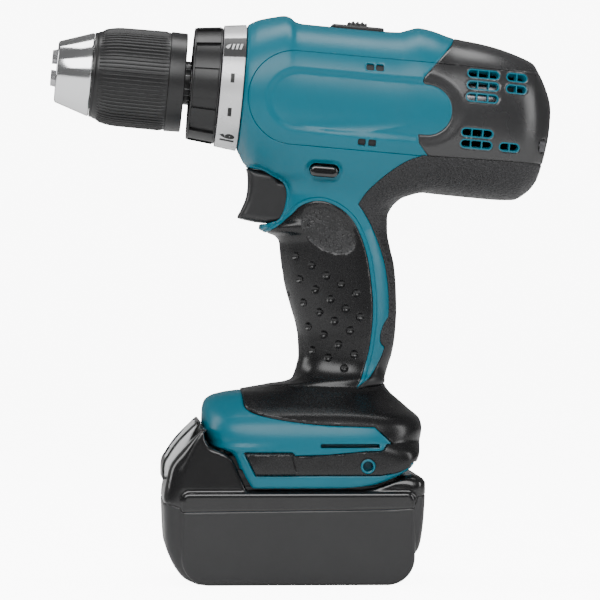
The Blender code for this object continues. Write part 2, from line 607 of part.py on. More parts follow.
def build_clutch_and_knob():
    plate = tube('clutch_plate', GAP, 2.2, NOSE_TUBE_R + GAP, 19.2)
    finish(plate, 'clutch_plate', STEEL, 0.4, 1.0)
    turns, steps = SPRING_TURNS, 10
    start = 2.2 + GAP + SPRING_WIRE_R
    pitch = 2.75
    rings = []
    for i in range(turns * steps + 1):
        angle = 2 * math.pi * i / steps
        centre_u = start + pitch * i / steps
        ring = []
        for k in range(6):
            a = 2 * math.pi * k / 6
            radius = SPRING_R + SPRING_WIRE_R * math.cos(a)
            ring.append(barrel_point(centre_u + SPRING_WIRE_R * math.sin(a), radius * math.cos(angle),
                                     radius * math.sin(angle)))
        rings.append(ring)
    finish(skin_rings('clutch_spring', rings), 'clutch_spring', STEEL, 0.3, 1.0)
    nut_rear = start + pitch * turns + SPRING_WIRE_R + GAP + NUT_TRAVEL
    nut = tube('clutch_nut', nut_rear, nut_rear + 3.5, NOSE_TUBE_R + GAP, KNOB_BORE_R - 2 * GAP)
    finish(nut, 'clutch_nut', STEEL, 0.4, 1.0, barrel_point(nut_rear, 0, 0))

    band = tube('torque_band', GAP, BAND_FRONT, KNOB_BORE_R, BAND_R, 28)
    cut(band, turned('taper', ((GAP, BAND_R), (BAND_FRONT, BAND_R_FRONT), (BAND_FRONT, BAND_R + 3),
                               (GAP, BAND_R + 3)), 28))
    finish(band, 'torque_band', WHITE, 0.35, 0.2, barrel_point(0, 0, 0))
    knob = turned('torque_knob', (
        (BAND_FRONT + GAP, KNOB_BORE_R), (KNOB_FRONT - 2.2, KNOB_BORE_R), (KNOB_FRONT - 2.2, 11.5),
        (KNOB_FRONT, 11.5), (KNOB_FRONT, KNOB_R_FRONT - 1.0), (KNOB_FRONT - 1.0, KNOB_R_FRONT),
        (BAND_FRONT + GAP, KNOB_R)), 30)
    flutes = None
    for i in range(KNOB_FLUTES):
        angle = 2 * math.pi * (i + 0.5) / KNOB_FLUTES
        y, r = (KNOB_R + 0.5) * math.cos(angle), (KNOB_R + 0.5) * math.sin(angle)
        start, end = barrel_point(BAND_FRONT + 2.0, y, r), barrel_point(KNOB_FRONT + 2, y, r)
        flute = rod('flute', start, end, FLUTE_R, 4)
        flutes = flute if flutes is None else join(flutes, flute)
    cut(knob, flutes)
    finish(knob, 'torque_knob', BLACK, 0.5, 0.0, barrel_point(BAND_FRONT, 0, 0))


# ---- chuck -------------------------------------------------------------------------------
def jaw_frame(index):
    """Outward and sideways directions of a jaw, and its forward direction along its bore."""
    angle = 2 * math.pi * index / 3 + math.pi / 2
    outward = Vector((0, math.cos(angle), 0)) + BARREL_UP * math.sin(angle)
    sideways = Vector((0, -math.sin(angle), 0)) + BARREL_UP * math.cos(angle)
    forward = BARREL_AXIS * math.cos(JAW_LEAN) - outward * math.sin(JAW_LEAN)
    return outward, sideways, forward


def build_jaws():
    for index in range(3):
        outward, sideways, forward = jaw_frame(index)
        tip = barrel_point(JAW_TIP, 0, 0) + outward * JAW_TIP_RADIUS
        jaw = rod('jaw', tip - forward * JAW_LENGTH, tip + forward * 3, JAW_R, 12)
        # the two gripping faces meet in an edge that stays parallel to the chuck's axis
        grip = JAW_GRIP_RADIUS
        wedge = ((grip, 0), (grip + 9 / math.tan(math.radians(60)), 9), (30, 9), (30, -9),
                 (grip + 9 / math.tan(math.radians(60)), -9))
        rings = [[barrel_point(u, 0, 0) + outward * a + sideways * b for a, b in wedge]
                 for u in (JAW_TIP - JAW_LENGTH - 5, JAW_TIP)]
        keep(jaw, skin_rings('wedge', rings, 35))
        finish(jaw, 'jaw_%d' % (index + 1), STEEL, 0.25, 1.0, tip - forward * JAW_LENGTH)


def build_chuck():
    spindle = turned('spindle', (
        (CARRIER_2_REAR, 0), (CARRIER_2_REAR, SPINDLE_R * 0.75), (CARRIER_2_FRONT + GAP, SPINDLE_R * 0.75),
        (CARRIER_2_FRONT + GAP, SPINDLE_R), (COLLAR_REAR, SPINDLE_R), (COLLAR_REAR, COLLAR_R),
        (SLEEVE_REAR - GAP, COLLAR_R), (SLEEVE_REAR - GAP, SPINDLE_R), (44, SPINDLE_R), (44, 0)), 20)
    finish(spindle, 'spindle', STEEL, 0.3, 1.0, barrel_point(0, 0, 0))

    body = turned('chuck_body', (
        (SLEEVE_REAR, SPINDLE_R + GAP), (44 + GAP, SPINDLE_R + GAP), (44 + GAP, CHUCK_BORE_R),
        (NOSE_FRONT - 2, CHUCK_BORE_R), (NOSE_FRONT, CHUCK_BORE_R + 2), (NOSE_FRONT, NOSE_R_FRONT - 1.2),
        (NOSE_FRONT - 1.0, NOSE_R_FRONT), (NOSE_REAR + 1.5, NOSE_R), (NOSE_REAR, NOSE_R - 0.6),
        (NOSE_REAR, CORE_R), (SLEEVE_REAR, CORE_R)), 24)
    for index in range(3):
        outward, _, forward = jaw_frame(index)
        tip = barrel_point(JAW_TIP, 0, 0) + outward * JAW_TIP_RADIUS
        cut(body, rod('jaw_bore', tip - forward * (JAW_LENGTH + 12.5), tip + forward * 6, JAW_R + GAP, 12))
    finish(body, 'chuck_body', STEEL, 0.15, 1.0, barrel_point(SLEEVE_REAR, 0, 0))

    sleeve = turned('chuck_sleeve', (
        (SLEEVE_REAR, CORE_R + GAP), (51, CORE_R + GAP), (51, SLEEVE_BORE_R),
        (SLEEVE_FRONT - 2.5, SLEEVE_BORE_R), (SLEEVE_FRONT - 1.0, SLEEVE_R_FRONT - 1.2),
        (SLEEVE_FRONT, SLEEVE_R_FRONT - 1.2), (SLEEVE_FRONT, SLEEVE_R_FRONT - 0.3),
        (SLEEVE_FRONT - 2, SLEEVE_R_FRONT + 1.0), (58, SLEEVE_R - 0.7), (52, SLEEVE_R),
        (SLEEVE_REAR + 0.8, SLEEVE_R), (SLEEVE_REAR, SLEEVE_R - 0.8)), 28)
    finish(sleeve, 'chuck_sleeve', BLACK, 0.5, 0.0, barrel_point(SLEEVE_REAR, 0, 0))
    section = ((NUT_REAR, 18.3), (NUT_FRONT, 16.8), (NUT_FRONT, NUT_R), (NUT_REAR, NUT_R))
    nut = turned('chuck_nut', section, 24)
    finish(nut, 'chuck_nut', STEEL, 0.4, 1.0, barrel_point(NUT_REAR, 0, 0))


# ---- motor -------------------------------------------------------------------------------
def build_motor():
    inner = MOTOR_R - MOTOR_WALL
    can = turned('motor_can', (
        (MOTOR_REAR, inner), (MOTOR_FRONT - 2, inner), (MOTOR_FRONT - 2, MOTOR_BEARING_R - 1.6),
        (MOTOR_FRONT, MOTOR_BEARING_R - 1.6), (MOTOR_FRONT, MOTOR_R), (MOTOR_REAR, MOTOR_R)), 24)
    finish(can, 'motor_can', (0.35, 0.35, 0.37), 0.45, 0.8)
    shaft = disc('motor_shaft', SHAFT_REAR, STAGE_1_FRONT - 0.5, SHAFT_R, 16)
    finish(shaft, 'motor_shaft', STEEL, 0.25, 1.0, barrel_point(0, 0, 0))
    rotor = tube('rotor_core', ROTOR_REAR, ROTOR_FRONT, SHAFT_R + GAP, ROTOR_R, 25)
    slots = None
    for i in range(ROTOR_SLOTS):
        angle = 2 * math.pi * i / ROTOR_SLOTS
        y, r = 11.2 * math.cos(angle), 11.2 * math.sin(angle)
        slot = rod('slot', barrel_point(ROTOR_REAR - 1, y, r), barrel_point(ROTOR_FRONT + 1, y, r), 3.0, 8)
        slots = slot if slots is None else join(slots, slot)
    cut(rotor, slots)
    finish(rotor, 'rotor_core', COPPER, 0.5, 0.6, barrel_point(0, 0, 0))
    commutator = tube('commutator', -111.0, -103.0, SHAFT_R + GAP, 5.6, 20)
    finish(commutator, 'commutator', COPPER, 0.3, 1.0, barrel_point(0, 0, 0))
    fan = turned('fan', (
        (-74.6, SHAFT_R + GAP), (-69.0, SHAFT_R + GAP), (-69.0, 5.0), (-73.4, 5.4), (-73.4, FAN_R),
        (-74.6, FAN_R)), 20)
    for i in range(FAN_BLADES):
        angle = 2 * math.pi * i / FAN_BLADES
        along, across = (math.cos(angle), math.sin(angle)), (-math.sin(angle), math.cos(angle))
        corners = [(along[0] * a + across[0] * b, along[1] * a + across[1] * b)
                   for a, b in ((3.8, -0.5), (FAN_R - 0.6, -0.5), (FAN_R - 0.6, 0.5), (3.8, 0.5))]
        join(fan, barrel_prism('blade', corners, -73.9, -69.3))
    finish(fan, 'fan', DARK, 0.6, 0.0, barrel_point(0, 0, 0))
    holder = turned('brush_holder', (
        (MOTOR_REAR - 9.5, 4.0), (MOTOR_REAR - 8.0, 4.0), (MOTOR_REAR - 8.0, MOTOR_BEARING_R + GAP),
        (MOTOR_REAR - GAP, MOTOR_BEARING_R + GAP), (MOTOR_REAR - GAP, MOTOR_R), (MOTOR_REAR - 4, MOTOR_R),
        (MOTOR_REAR - 5.5, MOTOR_BEARING_R + 3), (MOTOR_REAR - 9.5, MOTOR_BEARING_R + 2)), 20)
    finish(holder, 'brush_holder', DARK, 0.6)
    for name, front in (('bearing_motor_front', MOTOR_FRONT + 0.6 + MOTOR_BEARING_WIDTH),
                        ('bearing_motor_rear', MOTOR_REAR - 1.0)):
        bearing = tube(name, front - MOTOR_BEARING_WIDTH, front, SHAFT_R + GAP, MOTOR_BEARING_R, 18)
        finish(bearing, name, STEEL, 0.25, 1.0)


# ---- controls ----------------------------------------------------------------------------
def lamp_rod(grow):
    """The lamp's lens, set in the chin above the trigger, grown by a gap."""
    inner, outer = LAMP_INNER, LAMP_OUTER
    if grow:
        inner, outer = inner + (inner - outer), outer + (outer - inner)
    return rod('lamp', inner, outer, LAMP_R + grow, 14)


def build_controls():
    trigger = side_prism('trigger', TRIGGER, -TRIGGER_HALF_WIDTH, TRIGGER_HALF_WIDTH)
    bevel = trigger.modifiers.new('soften', 'BEVEL')
    bevel.width, bevel.segments = 1.2 * MM, 2
    bevel.limit_method, bevel.angle_limit = 'ANGLE', math.radians(50)
    finish(trigger, 'trigger', BLACK, 0.4)
    plunger = rod('trigger_plunger', (1.0 + GAP, 0, 168), (21, 0, 168), PLUNGER_R, 16)
    finish(plunger, 'trigger_plunger', STEEL, 0.4, 0.5)
    switch = block('switch_body', 11.6, 31.0, -SWITCH_HALF_WIDTH, SWITCH_HALF_WIDTH, 156, 173.2)
    cut(switch, rod('plunger_bore', (8, 0, 168), (30, 0, 168), PLUNGER_R + GAP, 16))
    finish(switch, 'switch_body', DARK, 0.6)

    lever = side_prism('reverse_lever', oblong(LEVER_X, LEVER_Z, LEVER_LENGTH, LEVER_HEIGHT, 6),
                       -LEVER_HALF, LEVER_HALF)
    finish(lever, 'reverse_lever', BLACK, 0.2, 0.0, (LEVER_X, 0, LEVER_Z))

    frame = barrel_block('selector_frame', SELECTOR_REAR, SELECTOR_FRONT, -SELECTOR_HALF, SELECTOR_HALF,
                         SELECTOR_PLATE_TOP + GAP, 30.2)
    cut(frame, barrel_block('slot', KNOB_SLOT_REAR, KNOB_SLOT_FRONT, -KNOB_SLOT_HALF, KNOB_SLOT_HALF, 20, 40))
    finish(frame, 'selector_frame', BLACK, 0.4)
    half = SELECTOR_KNOB_LENGTH / 2
    knob = barrel_block('speed_selector', SELECTOR_U - half, SELECTOR_U + half,
                        -KNOB_SLOT_HALF + GAP, KNOB_SLOT_HALF - GAP, 26.8, 33.0)
    join(knob, barrel_block('plate', SELECTOR_U - SELECTOR_PLATE / 2, SELECTOR_U + SELECTOR_PLATE / 2,
                            -SELECTOR_HALF + GAP, SELECTOR_HALF - GAP, 26.4, SELECTOR_PLATE_TOP))
    bevel = knob.modifiers.new('soften', 'BEVEL')
    bevel.width, bevel.segments = 0.5 * MM, 1
    bevel.limit_method, bevel.angle_limit = 'ANGLE', math.radians(50)
    finish(knob, 'speed_selector', BLACK, 0.4, 0.0, barrel_point(SELECTOR_U, 0, 28))
    fork = tube('shift_fork', SELECTOR_U - 1.5, SELECTOR_U + 1.5, CASE_OUTER_R + GAP, CASE_OUTER_R + 1.6)
    cut(fork, barrel_block('lower', SELECTOR_U - 9, SELECTOR_U + 9, -40, 40, -40, -2))
    finish(fork, 'shift_fork', STEEL, 0.4, 1.0, barrel_point(SELECTOR_U, 0, 26))

    lens = lamp_rod(0)
    finish(lens, 'lamp_lens', WHITE, 0.1)
    blades = block('terminal_block', 8, 40, -22, 22, 57.2, 60.2)
    for y in (-15, 0, 15):
        join(blades, block('blade', 12, 34, y - 0.5, y + 0.5, 51.5, 58))
    finish(blades, 'terminal_block', DARK, 0.6)


# ---- battery -----------------------------------------------------------------------------
def battery_rings(levels, half_width, inset, power=9.0, count=20):
    rings = []
    for z, front, rear, share in levels:
        outline = superellipse((front + rear) / 2, 0, (rear - front) / 2 - inset, half_width * share - inset,
                               power, count)
        rings.append([Vector((x, y, z)) for x, y in outline])
    return rings


CASE_LEVELS = ((0, -41.5, 40.0, 0.93), (1.2, -45.5, 43.5, 0.965), (5, -49.3, 47.4, 0.985), (10, -52.6, 50.2, 1.0),
               (17, -55.2, 53.4, 1.0), (26, -56.2, 55.2, 1.0), (CASE_TOP, BATTERY_FRONT, 56.0, 1.0))


def build_battery():
    case = skin_rings('battery_case', battery_rings(CASE_LEVELS, BATTERY_HALF_WIDTH, 0))
    inner_levels = [(max(z, CASE_WALL), f, r, s) for z, f, r, s in CASE_LEVELS[1:]]
    inner_levels[-1] = (CASE_TOP + 3, *inner_levels[-1][1:])
    cut(case, skin_rings('room', battery_rings(inner_levels, BATTERY_HALF_WIDTH, CASE_WALL, 14.0)))
    finish(case, 'battery_case', DARK, 0.5)

    # the cover closes the case; its tower slides into the foot, and its nose carries the button
    low = CASE_TOP + GAP
    levels = ((low, BATTERY_FRONT, BATTERY_REAR, 1.0), (39.0, BATTERY_FRONT, BATTERY_REAR, 1.0),
              (41.2, BATTERY_FRONT + 0.6, BATTERY_REAR - 1.7, 0.985))
    cover = skin_rings('battery_cover', battery_rings(levels, BATTERY_HALF_WIDTH, 0))
    nose = ((-56.2, 38), (-56.4, 48), (-55.8, 53.5), (-50.3, 61.6), (-42.2, 69.7), (-40.2, 71.9),
            (-39.6, 71.5), (-39.6, 63), (-37.0, 58.8), (-30.8, 56.2), (-26.6, 52.0), (-24.8, 48.6),
            (-21.0, 41.4), (-21.0, 38))
    hump = side_prism('nose', nose, -FOOT_HALF_WIDTH + 3.5, FOOT_HALF_WIDTH - 3.5)
    join(cover, hump)
    tower = block('tower', -34, 44, -30, 30, 38, 56.8)
    join(cover, tower)
    join(cover, block('rail', -30, 44, -33.0, 33.0, 38, 49.4))
    for side in (-1, 1):
        low, high = sorted((side * (RAIL_IN - 0.5), side * 34))
        cut(cover, block('rail_groove', -30, 46, low, high, GROOVE_LOW, GROOVE_HIGH))
    room = block('room', -51.5, 51.0, -33.4, 33.4, 30, 38.8)
    join(room, block('tower_room', -31.5, 41.5, -27, 27, 36, 53.5))
    cut(cover, room)
    for y in (-15, 0, 15):
        cut(cover, block('blade_slot', 8, 46, y - 1.2, y + 1.2, 47, 58))
    lower, upper = button_place(-2.4), button_place(1.0)
    pocket = side_prism('pocket', (*lower, *reversed(upper)), -BUTTON_HALF - GAP, BUTTON_HALF + GAP)
    cut(cover, pocket)
    finish(cover, 'battery_cover', BLACK, 0.2)

    lower, upper = button_place(-2.1, GAP, BUTTON_TRAVEL), button_place(0.0, GAP, BUTTON_TRAVEL)
    button = side_prism('battery_button', (*lower, *reversed(upper)), -BUTTON_HALF, BUTTON_HALF)
    finish(button, 'battery_button', WHITE, 0.4)

    pack = None
    first = -CELL_PITCH * (CELLS_LONG - 1) / 2 - 1.5
    for row in range(CELLS_HIGH):
        for column in range(CELLS_LONG):
            x, z = first + CELL_PITCH * column, CASE_WALL + GAP + CELL_R - 0.1 + (CELL_PITCH - 0.6) * row
            cell = rod('cell', (x, -CELL_LENGTH / 2, z), (x, CELL_LENGTH / 2, z), CELL_R, 8)
            pack = cell if pack is None else join(pack, cell)
    join(pack, block('holder', first - 4, first + CELL_PITCH * (CELLS_LONG - 1) + 4, -20, 20,
                     CASE_WALL + 2, CASE_WALL + 34))
    finish(pack, 'cell_pack', (0.1, 0.2, 0.4), 0.5)


BUTTON_HALF, BUTTON_TRAVEL = 19.0, 4.0
SLOPE_LOW, SLOPE_HIGH = Vector((-55.9, 0, 53.3)), Vector((-42.6, 0, 69.4))


def button_place(proud, ends=0.0, lift=0.0):
    """Lower and upper end of the button's bed on the battery's front slope, at a height above it."""
    along = (SLOPE_HIGH - SLOPE_LOW).normalized()
    out = Vector((-along.z, 0, along.x))
    low = SLOPE_LOW + along * (1.6 + ends + lift) + out * proud
    high = SLOPE_HIGH - along * (1.6 + ends) + out * proud
    return [(low.x, low.z), (high.x, high.z)]


# ---- the tool ----------------------------------------------------------------------------
def main():
    for obj in list(bpy.data.objects):
        bpy.data.objects.remove(obj)
    build_housing()
    build_grips()
    build_rear_cover()
    build_screws()
    build_gearbox()
    build_clutch_and_knob()
    build_chuck()
    build_jaws()
    build_motor()
    build_controls()
    build_battery()


main()
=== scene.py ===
"""The looks of a compact cordless drill driver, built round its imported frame."""
import json
import math

import bmesh
import bpy
import numpy as np
from mathutils import Matrix, Vector


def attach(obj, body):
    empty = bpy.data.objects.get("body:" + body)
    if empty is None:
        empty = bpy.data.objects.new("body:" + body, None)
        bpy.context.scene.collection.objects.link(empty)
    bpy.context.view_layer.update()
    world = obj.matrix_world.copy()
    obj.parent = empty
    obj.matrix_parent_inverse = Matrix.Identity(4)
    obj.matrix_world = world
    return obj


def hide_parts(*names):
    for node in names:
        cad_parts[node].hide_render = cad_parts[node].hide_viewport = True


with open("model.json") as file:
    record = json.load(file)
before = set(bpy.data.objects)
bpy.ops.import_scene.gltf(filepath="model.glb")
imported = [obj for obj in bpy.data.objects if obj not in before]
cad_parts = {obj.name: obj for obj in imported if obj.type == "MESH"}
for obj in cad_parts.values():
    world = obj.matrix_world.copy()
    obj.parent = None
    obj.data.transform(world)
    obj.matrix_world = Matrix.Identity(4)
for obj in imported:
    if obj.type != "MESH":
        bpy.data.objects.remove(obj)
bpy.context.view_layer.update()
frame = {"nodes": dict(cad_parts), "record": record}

MM = 0.001

# ---- the barrel's own axis: u runs forward from the housing's front face, r upward from the axis
TILT = math.radians(5.0)
LEAN, RISE = math.cos(TILT), math.sin(TILT)
AXIS_X, AXIS_Z = -21.5, 214.4
BARREL_FRAME = Matrix(((-LEAN, 0, RISE, AXIS_X), (0, -1, 0, 0), (RISE, 0, LEAN, AXIS_Z), (0, 0, 0, 1)))


def axis_along(x, z):
    return -LEAN * (x - AXIS_X) + RISE * (z - AXIS_Z)


def axis_up(x, z):
    return RISE * (x - AXIS_X) + LEAN * (z - AXIS_Z)


def in_barrel(x, z):
    return axis_along(x, z), axis_up(x, z)


def barrel_xz(u, r):
    return (AXIS_X - u * LEAN + r * RISE, AXIS_Z + u * RISE + r * LEAN)


# ---- curves -----------------------------------------------------------------------------
def eased(t, rows):
    """The value at t of a smooth curve through rows of (place, value), without overshoot."""
    place, value = np.array(sorted(rows), float).T
    gap = np.diff(place)
    rise = np.diff(value) / gap
    slope = np.zeros(len(place))
    same = rise[:-1] * rise[1:] > 0
    total = np.where(same, rise[:-1] + rise[1:], 1.0)
    slope[1:-1] = np.where(same, 2 * rise[:-1] * rise[1:] / total, 0)
    slope[0], slope[-1] = rise[0], rise[-1]
    t = np.clip(t, place[0], place[-1])
    i = np.clip(np.searchsorted(place, t) - 1, 0, len(place) - 2)
    s = (t - place[i]) / gap[i]
    return (value[i] * (1 + 2 * s) * (1 - s) ** 2 + slope[i] * gap[i] * s * (1 - s) ** 2
            + value[i + 1] * s * s * (3 - 2 * s) + slope[i + 1] * gap[i] * s * s * (s - 1))


def ramp(t, start, end):
    t = np.clip((t - start) / (end - start), 0, 1)
    return t * t * (3 - 2 * t)


def merged(a, b, round_over):
    """The union of two fields, with a fillet."""
    h = np.clip(1 - np.abs(a - b) / round_over, 0, 1)
    return np.minimum(a, b) - h * h * round_over / 4


def shared(a, b, round_over):
    """What two fields share, with a rounded edge."""
    return -merged(-a, -b, round_over)


def run(points, steps=5):
    """A smooth curve through points; its two ends stay sharp."""
    p = np.array(points, float)
    if len(p) < 3:
        return [tuple(q) for q in p]
    wide = np.vstack([2 * p[0] - p[1], p, 2 * p[-1] - p[-2]])
    out = []
    for i in range(1, len(wide) - 2):
        a, b, c, d = wide[i - 1:i + 3]
        for k in range(steps):
            t = k / steps
            out.append(tuple(0.5 * (2 * b + (c - a) * t + (2 * a - 5 * b + 4 * c - d) * t * t
                                    + (3 * b - a - 3 * c + d) * t ** 3)))
    return out + [tuple(p[-1])]


def outline(*runs):
    """A closed outline out of smooth runs, with a corner between each two."""
    points = []
    for part in runs:
        for q in run(part):
            if not points or math.dist(points[-1], q) > 1e-6:
                points.append(q)
    return np.array(points if math.dist(points[0], points[-1]) > 1e-6 else points[:-1])


def off_outline(a, b, ring):
    """Distance to a closed outline, negative inside."""
    shape = np.shape(a)
    a, b = np.ravel(a), np.ravel(b)
    best = np.full(len(a), 1e9)
    inside = np.zeros(len(a), bool)
    for (ax, ay), (bx, by) in zip(ring, np.roll(ring, -1, axis=0)):
        if ax == bx and ay == by:
            continue
        ex, ey = bx - ax, by - ay
        t = np.clip(((a - ax) * ex + (b - ay) * ey) / (ex * ex + ey * ey), 0, 1)
        best = np.minimum(best, (a - ax - t * ex) ** 2 + (b - ay - t * ey) ** 2)
        if by != ay:
            crosses = ((ay > b) != (by > b)) & (a < ex * (b - ay) / ey + ax)
            inside ^= crosses
    return np.where(inside, -1, 1).reshape(shape) * np.sqrt(best).reshape(shape)


def flat_field(ring):
    """Distance to an outline in the side view, worked out once for each place of a grid."""
    def field(x, z):
        if np.ndim(x) == 3:
            return off_outline(x[:, :1, :], z[:, :1, :], ring) + np.zeros(x.shape)
        return off_outline(x, z, ring)
    return field


def off_oblong(a, b, length, height):
    """Distance to an oblong with round ends, centred on the origin."""
    reach = (length - height) / 2
    return np.hypot(np.maximum(np.abs(a) - reach, 0), b) - height / 2


def off_box(a, b, half_a, half_b, corner):
    qa, qb = np.abs(a) - half_a + corner, np.abs(b) - half_b + corner
    return np.hypot(np.maximum(qa, 0), np.maximum(qb, 0)) + np.minimum(np.maximum(qa, qb), 0) - corner


# ---- sheets of triangles ---------------------------------------------------------------
def normals_of(points, faces):
    a, b, c = (points[faces[:, i]] for i in range(3))
    cross = np.cross(b - a, c - a)
    out = np.zeros_like(points)
    for i in range(3):
        for axis in range(3):
            out[:, axis] += np.bincount(faces[:, i], cross[:, axis], len(points))
    return out / np.maximum(np.linalg.norm(out, axis=1), 1e-12)[:, None]


def slope_of(field, points, reach=0.04):
    out = np.empty_like(points)
    for axis in range(3):
        step = np.zeros(3)
        step[axis] = reach
        out[:, axis] = (field(*(points + step).T) - field(*(points - step).T)) / (2 * reach)
    return out


def settled(points, field, rounds=2):
    """Points moved straight onto the surface of the field."""
    for _ in range(rounds):
        slope = slope_of(field, points)
        size = np.maximum((slope ** 2).sum(1), 1e-4)
        move = np.clip(field(*points.T) / size, -0.6, 0.6)
        points = points - slope * move[:, None]
    return points


def border_edges(faces):
    ends = np.concatenate([faces[:, [0, 1]], faces[:, [1, 2]], faces[:, [2, 0]]])
    key = np.sort(ends, axis=1)
    code = key[:, 0].astype(np.int64) * (faces.max() + 1) + key[:, 1]
    _, index, count = np.unique(code, return_inverse=True, return_counts=True)
    return ends[count[index] == 1]


def relaxed(points, faces, field, rounds=3):
    """Triangles evened out along the surface."""
    ends = np.concatenate([faces[:, [0, 1]], faces[:, [1, 2]], faces[:, [2, 0]]])
    rim = np.unique(border_edges(faces))
    count = np.maximum(np.bincount(ends[:, 0], minlength=len(points))
                       + np.bincount(ends[:, 1], minlength=len(points)), 1)
    for _ in range(rounds):
        mean = np.empty_like(points)
        for axis in range(3):
            mean[:, axis] = (np.bincount(ends[:, 0], points[ends[:, 1], axis], len(points))
                             + np.bincount(ends[:, 1], points[ends[:, 0], axis], len(points)))
        move = 0.6 * (mean / count[:, None] - points)
        move[rim] = 0
        points = settled(points + move, field, 1)
    return points


def skin(field, low, high, step):
    """The surface where the field is zero, as even triangles facing out."""
    low, high = np.array(low, float), np.array(high, float)
    axes = [np.arange(a, b + step, step) for a, b in zip(low, high)]
    value = field(*np.meshgrid(*axes, indexing="ij"))
    shape = np.array(value.shape)
    cells = shape - 1
    sums = np.zeros((3, cells.prod()))
    hits = np.zeros(cells.prod())
    quads = []
    for axis in range(3):
        near = [slice(None)] * 3
        far = [slice(None)] * 3
        near[axis], far[axis] = slice(0, -1), slice(1, None)
        a, b = value[tuple(near)], value[tuple(far)]
        at = np.argwhere((a < 0) != (b < 0))
        across, up = (axis + 1) % 3, (axis + 2) % 3
        whole = ((at[:, across] > 0) & (at[:, across] < cells[across])
                 & (at[:, up] > 0) & (at[:, up] < cells[up]))
        at = at[whole]
        va, vb = a[tuple(at.T)], b[tuple(at.T)]
        place = low + at * step
        place[:, axis] += step * va / (va - vb)
        ring = []
        for da, du in ((-1, -1), (0, -1), (0, 0), (-1, 0)):
            cell = at.copy()
            cell[:, across] += da
            cell[:, up] += du
            ring.append((cell[:, 0] * cells[1] + cell[:, 1]) * cells[2] + cell[:, 2])
        for cell in ring:
            hits += np.bincount(cell, minlength=len(hits))
            for k in range(3):
                sums[k] += np.bincount(cell, place[:, k], len(hits))
        ring = np.stack(ring, 1)
        quads.append(np.where((va < 0)[:, None], ring, ring[:, ::-1]))
    quads = np.concatenate(quads)
    used, index = np.unique(quads, return_inverse=True)
    points = (sums[:, used] / hits[used]).T
    quads = index.reshape(-1, 4)
    points = settled(points, field)
    first = np.linalg.norm(points[quads[:, 0]] - points[quads[:, 2]], axis=1)
    second = np.linalg.norm(points[quads[:, 1]] - points[quads[:, 3]], axis=1)
    short = first <= second
    faces = np.concatenate([quads[short][:, [0, 1, 2]], quads[short][:, [0, 2, 3]],
                            quads[~short][:, [0, 1, 3]], quads[~short][:, [1, 2, 3]]])
    return relaxed(points, faces, field), faces


def scored(points, faces, guide, level, snap=0.12):
    """The sheet with edges laid along the line where guide has that level."""
    value = guide(*points.T) - level
    close = np.flatnonzero((np.abs(value) < snap) & (np.abs(value) > 0))
    if len(close):
        normal = normals_of(points, faces)[close]
        slope = slope_of(guide, points[close])
        slope -= normal * (slope * normal).sum(1)[:, None]
        size = (slope ** 2).sum(1)
        good = size > 0.05
        close, slope, size = close[good], slope[good], size[good]
        points = points.copy()
        points[close] -= slope * (value[close] / size)[:, None]
        value[close] = 0
    sign = np.sign(value).astype(int)
    corner = sign[faces]
    cut = (corner.min(1) < 0) & (corner.max(1) > 0)
    whole, split = faces[~cut], faces[cut]
    if not len(split):
        return points, faces
    ends = np.sort(np.concatenate([split[:, [0, 1]], split[:, [1, 2]], split[:, [2, 0]]]), axis=1)
    crossing = sign[ends[:, 0]] * sign[ends[:, 1]] < 0
    code = ends[:, 0].astype(np.int64) * len(points) + ends[:, 1]
    unique, index = np.unique(code[crossing], return_inverse=True)
    a, b = unique // len(points), unique % len(points)
    t = value[a] / (value[a] - value[b])
    fresh = points[a] + (points[b] - points[a]) * t[:, None]
    middle = np.full(len(code), -1)
    middle[crossing] = len(points) + index
    middle = middle.reshape(3, -1).T
    made = [whole]
    for turn in range(3):
        f = np.roll(split, -turn, axis=1)
        m = np.roll(middle, -turn, axis=1)
        # corner 0 alone on its side
        alone = (m[:, 0] >= 0) & (m[:, 2] >= 0)
        g, h = f[alone], m[alone]
        made += [np.stack([g[:, 0], h[:, 0], h[:, 2]], 1), np.stack([h[:, 0], g[:, 1], g[:, 2]], 1),
                 np.stack([h[:, 0], g[:, 2], h[:, 2]], 1)]
        # corner 0 on the line, the far edge cut
        through = (m[:, 1] >= 0) & (m[:, 0] < 0) & (m[:, 2] < 0)
        g, h = f[through], m[through]
        made += [np.stack([g[:, 0], g[:, 1], h[:, 1]], 1), np.stack([g[:, 0], h[:, 1], g[:, 2]], 1)]
    return np.vstack([points, fresh]), np.concatenate(made)


def part_of(points, faces, mask, *more):
    """The faces under the mask as a sheet of their own, and the same rows of more arrays."""
    faces = faces[mask]
    used, index = np.unique(faces, return_inverse=True)
    return (points[used], index.reshape(-1, 3), *(m[used] for m in more))


def walled(points, faces, normal, depth):
    """A closed wall of that depth behind a sheet."""
    depth = np.broadcast_to(depth, len(points))
    inner = points - normal * depth[:, None]
    rim = border_edges(faces)
    n = len(points)
    side = np.concatenate([np.stack([rim[:, 1], rim[:, 0], rim[:, 0] + n], 1),
                           np.stack([rim[:, 1], rim[:, 0] + n, rim[:, 1] + n], 1)])
    return np.vstack([points, inner]), np.concatenate([faces, faces[:, ::-1] + n, side])


